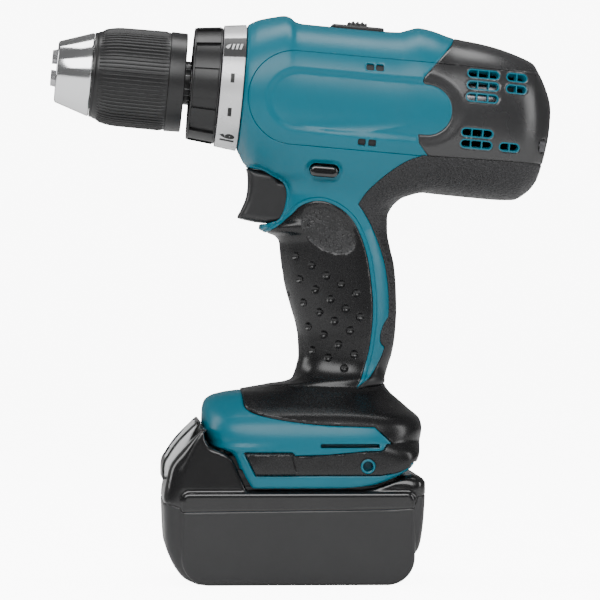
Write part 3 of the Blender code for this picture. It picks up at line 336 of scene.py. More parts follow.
# ---- the tool's body as one smooth field ------------------------------------------------
BARREL_TOP = ((0.6, 27.4), (0, 27.6), (-4.5, 30.0), (-11, 31.9), (-16, 32.9), (-18.2, 32.4), (-21, 30.6),
              (-24, 30.1), (-36, 30.0), (-58.5, 30.0), (-66, 30.3), (-70, 31.6), (-74.5, 32.9), (-80, 32.2),
              (-89.5, 29.8), (-102, 28.4), (-110, 27.0), (-120, 24.2), (-125.5, 21.9), (-128, 18.6),
              (-131, 13.6), (-134.3, 6.0), (-136, 0))
BARREL_LOW = ((0.6, -27.4), (0, -27.6), (-4, -33.0), (-8, -35.0), (-22, -35.5), (-64, -37.6), (-90, -38.7),
              (-112, -38.9), (-122, -38.3), (-127, -35.2), (-131, -30), (-133, -22.5), (-134.3, -15),
              (-136, -8))
BARREL_HALF = ((0.6, 27.4), (0, 27.6), (-4, 29.2), (-10, 30.2), (-22, 30.5), (-74.5, 30.6), (-90, 30.2),
               (-106, 29.0), (-120, 26.4), (-127, 23.2), (-131, 19), (-134.3, 12.5), (-136, 6))
HANDLE_FRONT = ((76, -10), (80, -9), (84.4, -5.8), (86.2, -1.2), (89, 0.6), (94.4, 2.4), (98, 3.1),
                (106, 2.8),
                (112, 1.8), (118, 0.1), (129.4, -3), (136, -4.1), (142.4, -4.9), (147.5, -5.4), (150, -7.2),
                (152, -12.6), (153.4, -14.2), (154.6, -13.4), (157, -8.8), (163, -5.6), (168, -4.8),
                (173, -5.1), (178, -8.2), (190, -8.2))
HANDLE_REAR = ((76, 41.5), (81, 40.6), (84.4, 39.8), (89, 41), (93, 42.1), (99, 44), (107.5, 45.4), (118, 46),
               (127, 45.8), (137, 45), (145, 43.2), (152, 42), (158, 42), (162, 43.6), (166, 47.6),
               (168, 51.5),
               (172, 57), (178, 60.5), (190, 62))
HANDLE_HALF = ((76, 19.4), (80, 18.8), (86, 17.7), (98, 16.9), (107, 17.1), (118, 17.4), (136, 17.3),
               (148, 17.0),
               (157, 17.6), (163, 18.5), (168, 19.7), (173, 21.4), (178, 23), (190, 26))
FOOT_FRONT = ((41.8, -19.6), (46.2, -22), (51, -24.4), (54.3, -26), (56.7, -28.4), (58.3, -32.5),
              (59.6, -36.1),
              (63.2, -38.4), (67.3, -39.1), (74.1, -39.0), (78.2, -38.1), (80.6, -35.4), (82.2, -29.8),
              (83.4, -21), (84.7, -14))
FOOT_REAR = ((41.8, 22), (43.1, 34), (45.8, 42.1), (48.6, 47.7), (51, 50.6), (56.7, 53.8), (61.6, 54.7),
             (67.3, 55.6), (70.5, 54.9), (75, 50.2), (79, 45.2), (82, 40.6), (84.7, 37.5))
FOOT_HALF = ((41.8, 38.3), (46, 39.1), (50, 39.4), (58, 39.5), (63, 39.2), (68, 38), (72, 35.8), (75, 32.6),
             (78, 28.6), (80.5, 25), (83, 21.2), (84.7, 18.8))
BARREL_END, HANDLE_LOW, HANDLE_HIGH, FOOT_LOW, FOOT_HIGH = -134.5, 76.0, 190.0, 41.8, 84.9


def lobe(a, b, half_a, half_b, power):
    """Rough distance to a rounded section."""
    size = (np.abs(a / half_a) ** power + np.abs(b / half_b) ** power) ** (1 / power) - 1
    return size * np.minimum(half_a, half_b)


def barrel_field(x, y, z):
    u, r = in_barrel(x, z)
    top, low, half = eased(u, BARREL_TOP), eased(u, BARREL_LOW), eased(u, BARREL_HALF)
    round_side = lobe(y, r - (top + low) / 2, half, (top - low) / 2, 2 + 0.35 * np.clip(-u / 20, 0, 1))
    return shared(round_side, np.maximum(u, BARREL_END - u), 1.4)


def handle_field(x, y, z):
    front, rear, half = eased(z, HANDLE_FRONT), eased(z, HANDLE_REAR), eased(z, HANDLE_HALF)
    side = lobe(y, x - (front + rear) / 2, half, (rear - front) / 2, 2.3)
    return np.maximum(side, np.maximum(HANDLE_LOW - z, z - HANDLE_HIGH))


def foot_field(x, y, z):
    front, rear, half = eased(z, FOOT_FRONT), eased(z, FOOT_REAR), eased(z, FOOT_HALF)
    power = 4.2 - 1.6 * ramp(z, 66, 84) + 9.0 * (1 - ramp(z, 50, 62))
    side = lobe(y, x - (front + rear) / 2, half, (rear - front) / 2, power)
    return shared(side, np.maximum(FOOT_LOW - z, z - FOOT_HIGH), 1.2)


def tool_field(x, y, z):
    wide = np.clip(np.abs(y) / 14, 0, 1)
    upper = merged(barrel_field(x, y, z), handle_field(x, y, z), 2 + 9 * wide)
    return merged(upper, foot_field(x, y, z), 2 + 10 * wide)


# ---- where one material meets the next, drawn on the side --------------------------------
SIDE_GRIP = outline(
    ((-9.8, 151.7), (-4.8, 155.9), (0, 159.9), (2.5, 162.4), (6.1, 164.2), (10, 165), (14.1, 164.6),
     (18.5, 162.8),
     (22.8, 159.9), (26.5, 155.9), (29.4, 150.4), (31.5, 144.6), (33, 138), (34.1, 130), (34.8, 122),
     (34.7, 113.4),
     (33.9, 106), (33, 100.3), (31.5, 94.5), (29.6, 88.9), (27.5, 84.3)),
    ((27.5, 84.3), (34, 85), (44, 86.5)),
    ((44, 86.5), (64, 80)), ((64, 80), (64, 53.6)),
    ((64, 53.6), (51, 52.7), (49.4, 51), (44.5, 48.6), (36.4, 47.2)),
    ((36.4, 47.2), (-17.1, 47.2)), ((-17.1, 47.2), (-22.4, 57.3)), ((-22.4, 57.3), (-1.3, 57.3)),
    ((-1.3, 57.3), (-0.2, 55.9)), ((-0.2, 55.9), (13.7, 56.3), (29.9, 57.7), (36.8, 58.1), (39.2, 60.9)),
    ((39.2, 60.9), (41.3, 61.1)), ((41.3, 61.1), (34, 68.1)),
    ((34, 68.1), (13.7, 68.9), (0, 70.3), (-10.6, 72.1), (-17.9, 74.2), (-21.2, 76.4), (-22, 79.4),
     (-22.3, 83)),
    ((-22.3, 83), (-22.6, 90)), ((-22.6, 90), (-18, 100)), ((-18, 100), (-19, 147)))
BACK_GRIP = outline(
    (barrel_xz(-150, -21.6), barrel_xz(-131, -22), barrel_xz(-81.5, -23.2)),
    ((56.2, 184.5), (49.7, 182.4), (43.9, 179.1), (38.1, 174.7), (33, 170), (30.2, 166.6), (28.3, 163.5)),
    ((28.3, 163.5), (31.5, 159.1), (35.2, 152.6), (38.1, 145.3), (40.3, 138), (41.7, 129.4), (42.2, 121.4),
     (42.0, 114.8)),
    ((42.0, 114.8), (40.2, 112.3), (38.8, 109.2), (38.2, 106.3), (38.5, 103.6), (40.2, 101.6)),
    ((40.2, 101.6), (38.7, 97.4), (35.9, 92.3), (32.3, 87.9), (27.5, 84.3)),
    ((27.5, 84.3), (34, 85), (44, 86.5)), ((44, 86.5), (60, 95)), ((60, 95), (60, 160)),
    ((60, 160), barrel_xz(-150, -45)))
TONGUE = [barrel_xz(-79 - 11.2 * math.sin(t), -3.5 + 11.2 * math.cos(t))
          for t in np.linspace(math.radians(4), math.radians(167), 16)]
COVER = outline(
    (barrel_xz(-86.5, 38), barrel_xz(-90, 29.5), barrel_xz(-76.9, 10.6)),
    (barrel_xz(-76.9, 10.6), barrel_xz(-76.5, 9.0), barrel_xz(-77.3, 7.9), TONGUE[0]),
    TONGUE, (TONGUE[-1], barrel_xz(-76.5, -14.6)), (barrel_xz(-76.5, -14.6), barrel_xz(-77, -18)),
    (barrel_xz(-77, -18), barrel_xz(-81.5, -23.2)),
    (barrel_xz(-81.5, -23.2), barrel_xz(-131, -22), barrel_xz(-150, -21.6)),
    (barrel_xz(-150, -21.6), barrel_xz(-150, 40)))
THUMB_PAD = outline(((3.0, 156.6), (3.8, 152.6), (6.4, 148.6), (10.9, 144.9), (16.3, 142.6), (22.1, 142.0),
                     (26.2, 144.0), (27.3, 148.2), (25.6, 153.6), (21.6, 158.8), (15.6, 162.2), (9.2, 162.8),
                     (4.6, 160.8), (3.0, 156.6)))
FOOT_PAD = np.array(((-21.8, 57.0), (-1.5, 57.0), (1.2, 47.4), (-17.2, 47.4)))
# the sampling grid of each skinned piece: the smaller, the finer its triangles
GRID = {"body": 0.85, "cover": 0.62, "pack": 0.95, "trigger": 0.55, "lever": 0.45, "surround": 0.42,
        "selector": 0.4, "latch": 0.6, "bezel": 0.45}
SEAM, HALF_SEAM = 0.1, 0.12
SEAM_LIP, SEAM_DROP = 0.7, 0.4

# vents in the rear cover: (front end, rear end, height above the axis, cells)
VENTS = ((-95.3, -109.8, 14.3, 3), (-95.3, -109.8, 9.2, 3), (-95.3, -109.8, 3.9, 3),
         (-112.5, -122.2, 14.3, 2), (-112.5, -122.2, 9.1, 2),
         (-94.5, -108.9, -11.5, 3), (-94.5, -108.9, -16.4, 3), (-111.5, -120.9, -16.3, 2))
VENT_HEIGHT, VENT_RIM, VENT_BAR = 4.2, 0.62, 0.6
TRACK = (-22.3, -3.05, 20.25)     # front end's centre along and above the axis, and its radius
PANEL = (-23.6, -3.8, 14.5)
WINDOW_SIZE = (1.7, 1.5, 0.7)     # half length, half height, corner
WINDOWS = ((-53.3, 12.9), (-57.5, 12.9), (-52.3, -19.8), (-56.8, -19.8))
LEVER_AT, LEVER_LONG, LEVER_HIGH, LEVER_TILT = (13.0, 177.8), 12.4, 5.2, math.radians(4.5)
HOOK_AT, HOOK_RING, HOOK_HOLE = (31.0, 51.3), 3.2, 2.25
FOOT_SLOT = (23.4, 60.1, 25.4, 1.8)
SCREWS = ((0.5, 183.6), (41.0, 175.6), (37.6, 121.0), (-28.0, 70.0), (43.0, 68.5))
REAR_SCREW_Y, REAR_SCREW_R = 17.5, -14.0
SCREW_HOLE_R, REAR_HOLE_R = 3.3, 3.1
CREASE_R = 17.2
MOUTH_Z, MOUTH_SIZE, MOUTH_REAR = 167.3, (9.5, 12.0, 2.0), 16
NOSE_OPENING_R = 24.5
LAMP_AT, LAMP_DIR, LAMP_OPENING_R = (-20.6, 183.2), (-4.4 / 5.8, -3.8 / 5.8), 2.9
BAY_ROOF, BAY_RISE, BAY_STEP, BAY_REAR = 57.3, 3.3, 50, 47.5
BAY_HALF_LOW, BAY_HALF_HIGH = 36.2, 33.4


def seam_of(ring):
    return lambda x, y, z: off_outline(x, z, ring)


def flank_only(near, y, half):
    """A guide moved out of reach nearer the middle plane than that."""
    return near + 20 * (np.abs(y) < half)


def blunt_front(x, z, front, middle, radius):
    """Distance to a band along the barrel with a round front end."""
    u, r = in_barrel(x, z)
    return np.where(u > front, np.hypot(u - front, r - middle), np.abs(r - middle)) - radius


def racetrack(x, y, z):
    return flank_only(blunt_front(x, z, *TRACK), y, 9)


def panel(x, y, z):
    return blunt_front(x, z, *PANEL)


def window(x, y, z):
    u, r = in_barrel(x, z)
    return np.minimum.reduce([off_box(u - a, r - b, *WINDOW_SIZE) for a, b in WINDOWS])


def in_lever(x, z):
    """Places in the direction lever's own tilted frame."""
    a, b = x - LEVER_AT[0], z - LEVER_AT[1]
    return (a * math.cos(LEVER_TILT) - b * math.sin(LEVER_TILT),
            a * math.sin(LEVER_TILT) + b * math.cos(LEVER_TILT))


def lever_gap(x, y, z):
    return off_oblong(*in_lever(x, z), LEVER_LONG, LEVER_HIGH)


def vent_of(x, y, z):
    u, r = in_barrel(x, z)
    return np.minimum.reduce([off_oblong(u - (a + b) / 2, r - h, a - b, VENT_HEIGHT) for a, b, h, _ in VENTS])


def vent_bars(x, y, z):
    u, r = in_barrel(x, z)
    near = np.full(np.shape(u), 9.0)
    for a, b, h, cells in VENTS:
        for k in range(1, cells):
            bar = np.abs(u - a - (b - a) * k / cells) - VENT_BAR / 2
            near = np.where(np.abs(r - h) < VENT_HEIGHT / 2 + 0.3, np.minimum(near, bar), near)
    return near


def crease(x, y, z):
    return flank_only(np.abs(axis_up(x, z) - CREASE_R), y, 8)


def trigger_gap(x, y, z):
    """The mouth the trigger slides in, open towards the front only."""
    hole = off_box(np.asarray(y, float), z - MOUTH_Z, *MOUTH_SIZE)
    return np.where(np.asarray(x) < MOUTH_REAR, hole, np.maximum(hole, 3.0))


def chuck_gap(x, y, z):
    u, r = in_barrel(x, z)
    return np.where(u > -6, np.hypot(y, r) - NOSE_OPENING_R, 5.0)


def lamp_gap(x, y, z):
    ax, az = LAMP_DIR
    a, b = x - LAMP_AT[0], z - LAMP_AT[1]
    away = np.hypot(y, -a * az + b * ax) - LAMP_OPENING_R
    return np.where((x < -10) & (z > 175), away, 5.0)


def bay_gap(x, y, z):
    """The bay that the battery's tower slides into, stepped in above its rails."""
    roof = BAY_ROOF + BAY_RISE * ramp(x, -27, -22)
    low = np.maximum(np.abs(y) - BAY_HALF_LOW, z - BAY_STEP)
    high = np.maximum(np.abs(y) - BAY_HALF_HIGH, z - roof)
    return np.maximum(np.minimum(low, high), x - BAY_REAR)


def slot_gap(x, y, z):
    at_x, at_z, long, high = FOOT_SLOT
    return flank_only(off_box(x - at_x, z - at_z, long / 2, high / 2, 0.3), y, 20)


def hook_gap(x, y, z):
    return flank_only(np.hypot(x - HOOK_AT[0], z - HOOK_AT[1]), y, 20)


def screw_gap(x, y, z):
    near = np.minimum.reduce([np.hypot(x - a, z - b) for a, b in SCREWS]) - SCREW_HOLE_R
    return np.where(np.asarray(y) > 0, near, 9.0)


def rear_screw_gap(x, y, z):
    u, r = in_barrel(x, z)
    return np.where(u < -118, np.hypot(np.abs(y) - REAR_SCREW_Y, r - REAR_SCREW_R) - REAR_HOLE_R, 9.0)


def foot_pad(x, y, z):
    return flank_only(off_outline(x, z, FOOT_PAD), y, 30)


def crown_of(pad_edge, high, slope):
    """How far a raised pad stands out, by the distance inside its edge."""
    return high * ramp(-pad_edge, 0, slope)


# ---- finishes ---------------------------------------------------------------------------
def shader_group(name, outputs, **inputs):
    """An empty shader node group with float inputs, and its input and output nodes."""
    group = bpy.data.node_groups.new(name, "ShaderNodeTree")
    for label, value in inputs.items():
        socket = group.interface.new_socket(label, in_out="INPUT", socket_type="NodeSocketFloat")
        socket.default_value = value
    for label in outputs:
        group.interface.new_socket(label, in_out="OUTPUT", socket_type="NodeSocketFloat")
    return group, group.nodes.new("NodeGroupInput"), group.nodes.new("NodeGroupOutput")


def noise_in(group, coordinates, scale, detail=3.0, roughness=0.5):
    node = group.nodes.new("ShaderNodeTexNoise")
    node.inputs["Detail"].default_value = detail
    node.inputs["Roughness"].default_value = roughness
    group.links.new(coordinates.outputs["Object"], node.inputs["Vector"])
    if isinstance(scale, (int, float)):
        node.inputs["Scale"].default_value = scale
    else:
        group.links.new(scale, node.inputs["Scale"])
    return node.outputs["Fac"]


def range_in(group, value, low, high, start, end):
    node = group.nodes.new("ShaderNodeMapRange")
    for label, number in (("From Min", low), ("From Max", high)):
        node.inputs[label].default_value = number
    for label, number in (("To Min", start), ("To Max", end)):
        if isinstance(number, (int, float)):
            node.inputs[label].default_value = number
        else:
            group.links.new(number, node.inputs[label])
    group.links.new(value, node.inputs["Value"])
    return node.outputs["Result"]


def math_in(group, kind, a, b):
    node = group.nodes.new("ShaderNodeMath")
    node.operation = kind
    for socket, number in zip(node.inputs, (a, b)):
        if isinstance(number, (int, float)):
            socket.default_value = number
        else:
            group.links.new(number, socket)
    return node.outputs["Value"]


def moulded_grain():
    """Spark-eroded mould texture: a fine height, and a slow change of gloss."""
    group, given, out = shader_group("moulded_grain", ("Height", "Gloss", "Tone"),
                                     Fineness=2600.0, Dull=0.36, Bright=0.5)
    coordinates = group.nodes.new("ShaderNodeTexCoord")
    fine = noise_in(group, coordinates, given.outputs["Fineness"], 2.0)
    slow = noise_in(group, coordinates, 38.0, 4.0)
    group.links.new(fine, out.inputs["Height"])
    group.links.new(range_in(group, slow, 0.3, 0.7, given.outputs["Dull"], given.outputs["Bright"]),
                    out.inputs["Gloss"])
    group.links.new(slow, out.inputs["Tone"])
    return group


def pebbled_rubber():
    """Coarse grip texture: rounded pebbles of uneven size where the mesh is marked coarse."""
    group, given, out = shader_group("pebbled_rubber", ("Height", "Gloss", "Tone"), Size=1150.0, Smooth=0.4,
                                     Rough=0.62)
    coordinates = group.nodes.new("ShaderNodeTexCoord")
    pebbles = group.nodes.new("ShaderNodeTexVoronoi")
    pebbles.feature = "SMOOTH_F1"
    pebbles.inputs["Smoothness"].default_value = 0.4
    group.links.new(coordinates.outputs["Object"], pebbles.inputs["Vector"])
    group.links.new(given.outputs["Size"], pebbles.inputs["Scale"])
    marked = group.nodes.new("ShaderNodeAttribute")
    marked.attribute_name = "coarse"
    patches = noise_in(group, coordinates, 700.0, 3.0)
    bump = range_in(group, pebbles.outputs["Distance"], 0.1, 0.75, 1.0, 0.0)
    uneven = math_in(group, "MULTIPLY", bump, range_in(group, patches, 0.35, 0.65, 0.35, 1.0))
    height = math_in(group, "MULTIPLY", uneven, marked.outputs["Fac"])
    group.links.new(height, out.inputs["Height"])
    gloss = range_in(group, height, 0.0, 1.0, given.outputs["Smooth"], given.outputs["Rough"])
    group.links.new(gloss, out.inputs["Gloss"])
    group.links.new(height, out.inputs["Tone"])
    return group


def turned_lines():
    """Fine tool marks round the barrel's axis."""
    group, given, out = shader_group("turned_lines", ("Height", "Gloss"), Pitch=5200.0, Dull=0.2, Bright=0.34)
    coordinates = group.nodes.new("ShaderNodeTexCoord")
    split = group.nodes.new("ShaderNodeSeparateXYZ")
    group.links.new(coordinates.outputs["Object"], split.inputs["Vector"])
    along = math_in(group, "ADD", math_in(group, "MULTIPLY", split.outputs["X"], -LEAN),
                    math_in(group, "MULTIPLY", split.outputs["Z"], RISE))
    joined = group.nodes.new("ShaderNodeCombineXYZ")
    group.links.new(along, joined.inputs["X"])
    lines = group.nodes.new("ShaderNodeTexNoise")
    lines.inputs["Detail"].default_value = 2.0
    group.links.new(joined.outputs["Vector"], lines.inputs["Vector"])
    group.links.new(given.outputs["Pitch"], lines.inputs["Scale"])
    slow = noise_in(group, coordinates, 60.0, 3.0)
    group.links.new(lines.outputs["Fac"], out.inputs["Height"])
    group.links.new(range_in(group, slow, 0.3, 0.7, given.outputs["Dull"], given.outputs["Bright"]),
                    out.inputs["Gloss"])
    return group


GRAIN, PEBBLES, LINES = moulded_grain(), pebbled_rubber(), turned_lines()


def finish_of(name, group, dark, light, bump, depth, fixed=(), **inputs):
    """A material whose tone, gloss and relief come from one of the groups."""
    material = bpy.data.materials.new(name)
    material.use_nodes = True
    tree = material.node_tree
    shader = tree.nodes["Principled BSDF"]
    effect = tree.nodes.new("ShaderNodeGroup")
    effect.node_tree = group
    for label, value in inputs.items():
        effect.inputs[label].default_value = value
    if "Tone" in effect.outputs:
        blend = tree.nodes.new("ShaderNodeMix")
        blend.data_type = "RGBA"
        blend.inputs["A"].default_value = (*dark, 1)
        blend.inputs["B"].default_value = (*light, 1)
        tree.links.new(effect.outputs["Tone"], blend.inputs["Factor"])
        tree.links.new(blend.outputs["Result"], shader.inputs["Base Color"])
    else:
        shader.inputs["Base Color"].default_value = (*light, 1)
    tree.links.new(effect.outputs["Gloss"], shader.inputs["Roughness"])
    relief = tree.nodes.new("ShaderNodeBump")
    relief.inputs["Strength"].default_value = bump
    relief.inputs["Distance"].default_value = depth
    tree.links.new(effect.outputs["Height"], relief.inputs["Height"])
    tree.links.new(relief.outputs["Normal"], shader.inputs["Normal"])
    for label, value in dict(fixed).items():
        shader.inputs[label].default_value = value
    return material


FINISH = {
    "housing_shell": finish_of("teal_nylon", GRAIN, (0.0, 0.12, 0.175), (0.0, 0.14, 0.2), 0.12, 0.00012,
                               {"Specular IOR Level": 0.4}, Dull=0.38, Bright=0.3),
    "smooth_grip": finish_of("smooth_elastomer", PEBBLES, (0.006, 0.006, 0.0065), (0.02, 0.02, 0.022), 0.9,
                             0.0003,
                             {"Specular IOR Level": 0.5}, Size=1500.0, Smooth=0.27, Rough=0.55),
    "rough_grip": finish_of("pebbled_elastomer", PEBBLES, (0.012, 0.012, 0.013), (0.04, 0.04, 0.042), 1.0,
                            0.0004,
                            {"Specular IOR Level": 0.4}, Size=1250.0, Smooth=0.36, Rough=0.62),
    "cover_plastic": finish_of("charcoal_cover", GRAIN, (0.014, 0.014, 0.015), (0.024, 0.024, 0.025), 0.2,
                               0.00015,
                               {"Specular IOR Level": 0.75}, Dull=0.32, Bright=0.24),
    "chuck_plastic": finish_of("black_nylon", GRAIN, (0.006, 0.006, 0.0065), (0.012, 0.012, 0.0125), 0.2,
                               0.00012,
                               Dull=0.38, Bright=0.3),
    "scale_band": finish_of("silver_paint", GRAIN, (0.66, 0.66, 0.67), (0.76, 0.76, 0.77), 0.06, 0.0001,
                            {"Metallic": 0.3}, Dull=0.3, Bright=0.24),
    "polished_steel": finish_of("polished_steel", LINES, None, (0.9, 0.91, 0.92), 0.02, 0.00003,
                                {"Metallic": 1.0}, Dull=0.08, Bright=0.14),
    "machined_steel": finish_of("machined_steel", LINES, None, (0.5, 0.5, 0.51), 0.25, 0.0001,
                                {"Metallic": 1.0}),
    "gear_steel": finish_of("hardened_steel", LINES, None, (0.32, 0.32, 0.33), 0.3, 0.0001, {"Metallic": 1.0},
                            Dull=0.3, Bright=0.42),
    "cast_case": finish_of("die_cast_alloy", GRAIN, (0.38, 0.38, 0.39), (0.5, 0.5, 0.51), 0.6, 0.0003,
                           {"Metallic": 0.9}, Fineness=1500.0, Dull=0.5, Bright=0.38),
    "motor_steel": finish_of("zinc_plate", LINES, None, (0.36, 0.36, 0.38), 0.15, 0.0001, {"Metallic": 1.0}),
    "winding_copper": finish_of("copper_winding", LINES, None, (0.72, 0.3, 0.14), 0.8, 0.0003,
                                {"Metallic": 1.0},
                                Pitch=2400.0),
    "inner_plastic": finish_of("inner_nylon", GRAIN, (0.006, 0.006, 0.0065), (0.014, 0.014, 0.015), 0.3,
                               0.0002,
                               Dull=0.6, Bright=0.5),
    "trigger_plastic": finish_of("trigger_nylon", GRAIN, (0.012, 0.012, 0.013), (0.018, 0.018, 0.019), 0.22,
                                 0.00014, Dull=0.4, Bright=0.32),
    "lever_plastic": finish_of("lever_gloss", GRAIN, (0.003, 0.003, 0.0035), (0.005, 0.005, 0.0055), 0.02,
                               0.00008, {"Coat Weight": 0.8, "Coat Roughness": 0.06}, Dull=0.2, Bright=0.14),
    "lens_plastic": finish_of("lamp_lens", GRAIN, (0.9, 0.92, 0.94), (0.95, 0.96, 0.97), 0.02, 0.0001,
                              {"Transmission Weight": 0.85, "IOR": 1.49}, Dull=0.1, Bright=0.06),
    "battery_plastic": finish_of("battery_case_nylon", GRAIN, (0.02, 0.02, 0.021), (0.03, 0.03, 0.031), 0.14,
                                 0.00012, Dull=0.4, Bright=0.32),
    "battery_gloss": finish_of("battery_cover_gloss", GRAIN, (0.004, 0.004, 0.0045),
                               (0.008, 0.008, 0.0085), 0.05,
                               0.0001, {"Coat Weight": 0.5, "Coat Roughness": 0.1}, Dull=0.26, Bright=0.2),
    "button_plastic": finish_of("button_nylon", GRAIN, (0.72, 0.73, 0.74), (0.8, 0.8, 0.81), 0.1, 0.0001,
                                Dull=0.36, Bright=0.28),
    "cell_wrap": finish_of("cell_wrap", GRAIN, (0.03, 0.12, 0.24), (0.05, 0.16, 0.3), 0.03, 0.0001,
                           Dull=0.25, Bright=0.18),
    "screw_steel": finish_of("blackened_screw", LINES, None, (0.12, 0.12, 0.125), 0.2, 0.0001,
                             {"Metallic": 1.0},
                             Dull=0.3, Bright=0.42),
    "mark_ink": finish_of("mark_ink", GRAIN, (0.002, 0.002, 0.002), (0.005, 0.005, 0.005), 0.05, 0.0001,
                          Dull=0.45, Bright=0.36),
    "dark_patch": finish_of("dark_patch", GRAIN, (0.02, 0.02, 0.021), (0.03, 0.03, 0.031), 0.05, 0.0001,
                            Dull=0.42, Bright=0.34),
}


# ---- meshes ------------------------------------------------------------------------------
def in_scene(name, data):
    """A new object in the scene, at the origin."""
    thing = bpy.data.objects.new(name, data)
    bpy.context.scene.collection.objects.link(thing)
    return thing


def baked(thing):
    """The object's finished mesh, with its modifiers or its text made into triangles."""
    bpy.context.view_layer.update()
    return bpy.data.meshes.new_from_object(thing.evaluated_get(bpy.context.evaluated_depsgraph_get()))


def mesh_piece(name, points, faces, slot, body, replaces=(), sharp=32.0, finish=None, **marks):
    """A piece from points in millimetres and triangles, riding on its body."""
    mesh = bpy.data.meshes.new(name)
    points, faces = np.asarray(points, float) * MM, np.asarray(faces)
    mesh.vertices.add(len(points))
    mesh.vertices.foreach_set("co", points.astype(np.float32).ravel())
    mesh.loops.add(faces.size)
    mesh.loops.foreach_set("vertex_index", faces.astype(np.int32).ravel())
    mesh.polygons.add(len(faces))
    mesh.polygons.foreach_set("loop_start", np.arange(0, faces.size, 3, dtype=np.int32))
    mesh.update(calc_edges=True)
    for label, values in marks.items():
        mesh.attributes.new(label, "FLOAT", "POINT").data.foreach_set("value", np.asarray(values, np.float32))
    return placed(mesh, name, slot, body, replaces, sharp, finish)


def placed(mesh, name, slot, body, replaces=(), sharp=32.0, finish=None):
    mesh.materials.clear()
    mesh.materials.append(FINISH[finish or slot])
    mesh.polygons.foreach_set("use_smooth", np.ones(len(mesh.polygons), bool))
    if sharp:
        mesh.set_sharp_from_angle(angle=math.radians(sharp))
    piece = in_scene(name, mesh)
    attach(piece, body)
    if replaces:
        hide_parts(*replaces)
    return piece


def mirrored(points, faces):
    return points * (1, -1, 1), faces[:, ::-1]


# ---- the shells, the grips and the rear cover --------------------------------------------
DIMPLE_R, DIMPLE_DEEP = 1.9, 1.2
WALL = {"shell": 1.7, "side": 1.5, "back": 1.5, "cover": 1.8, "vent": 2.8}


def lip(distance, wide=SEAM_LIP, deep=SEAM_DROP):
    return deep * np.clip(1 - np.abs(distance) / wide, 0, 1) ** 2


def dimple_places(points):
    """Centres of the dimples, on the sheet's own surface."""
    flat = [(7.9 + 6.55 * i + 1.82 * j, 137.2 - 4.1 * i - 10.1 * j) for j in range(5) for i in range(-1, 4)]
    flat += [(-3.6, 134.0), (-1.4, 124.6), (0.4, 115.2), (1.9, 105.9), (3.0, 97.0)]
    places = []
    for x, z in flat:
        if off_outline(np.array([x]), np.array([z]), SIDE_GRIP)[0] > -3.2 or z < 92.5:
            continue
        near = np.hypot(points[:, 0] - x, points[:, 2] - z)
        places.append(points[np.argmin(near)])
    return np.array(places)


def groove_all(points, faces, lines):
    for guide, levels in lines:
        for level in levels:
            points, faces = scored(points, faces, guide, level)
    return points, faces


def outward(field, points, reach=0.04):
    slope = slope_of(field, points, reach)
    return slope / np.maximum(np.linalg.norm(slope, axis=1), 1e-9)[:, None]


def sunk(points, depth):
    """Points moved inward by depth, and the surface normals they moved along."""
    normal = outward(tool_field, points)
    return points - normal * depth[:, None], normal


def middle_of(points, faces):
    return points[faces].mean(axis=1).T


def half_skin():
    """The left half of the tool's skin, its seams laid in it."""
    points, faces = skin(tool_field, (-42, -42, 40.6), (116, 1.7, 248), GRID["body"])
    points, faces = scored(points, faces, lambda x, y, z: y, -HALF_SEAM)
    keep = middle_of(points, faces)[1] < -HALF_SEAM
    points, faces = part_of(points, faces, keep)
    seams = [(seam_of(ring), (-SEAM, SEAM, -SEAM_LIP, SEAM_LIP)) for ring in (SIDE_GRIP, BACK_GRIP, COVER)]
    return groove_all(points, faces, seams)


def shell_half(side, points, faces):
    """The teal half shell, or on side 1 its mirror image with the screw holes."""
    rim = [(lambda x, y, z: off_outline(x, z, SIDE_GRIP) + 9 * (z < 86), (1.35, 1.6, 1.85)),
           (racetrack, (-0.28, 0, 0.28)), (panel, (0, -3.6)), (window, (0, 0.35)),
           (lever_gap, (0.35, 0.9, 2.6)),
           (trigger_gap, (0, 0.45, 1.5)), (chuck_gap, (0,)), (lamp_gap, (0,)), (bay_gap, (0,)),
           (slot_gap, (0,)),
           (hook_gap, (HOOK_RING,))]
    if side > 0:
        rim.append((lambda x, y, z: screw_gap(x, -y, z), (0, 0.4)))
    points, faces = groove_all(points, faces, rim)
    x, y, z = middle_of(points, faces)
    keep = np.minimum.reduce([window(x, y, z), lever_gap(x, y, z) - 0.35, trigger_gap(x, y, z),
                              chuck_gap(x, y, z),
                              lamp_gap(x, y, z), bay_gap(x, y, z), slot_gap(x, y, z)]) > 0
    if side > 0:
        keep &= screw_gap(x, -y, z) > 0
    points, faces = part_of(points, faces, keep)
    x, y, z = points.T
    flank = ramp(-y, 9, 14)
    depth = lip(off_outline(x, z, SIDE_GRIP)) + lip(off_outline(x, z, BACK_GRIP)) + lip(off_outline(x, z,
                                                                                                    COVER))
    depth += lip(y, 0.6, 0.2)
    depth += lip(off_outline(x, z, SIDE_GRIP) - 1.6, 0.25, 0.3) * (z > 86)
    depth += 1.1 * ramp(-panel(x, y, z), 0, 3.6) * flank + lip(racetrack(x, y, z), 0.28, 0.42)
    depth += lip(window(x, y, z), 0.35, 0.2) + 0.9 * (1 - ramp(lever_gap(x, y, z), 0.5, 2.6)) * flank
    depth -= 0.55 * np.sin(np.pi * np.clip(trigger_gap(x, y, z) / 1.5, 0, 1))
    if side > 0:
        depth += lip(screw_gap(x, -y, z), 0.4, 0.2)
    points, normal = sunk(points, depth)
    points, faces = walled(points, faces, normal, WALL["shell"])
    return mirrored(points, faces) if side > 0 else (points, faces)


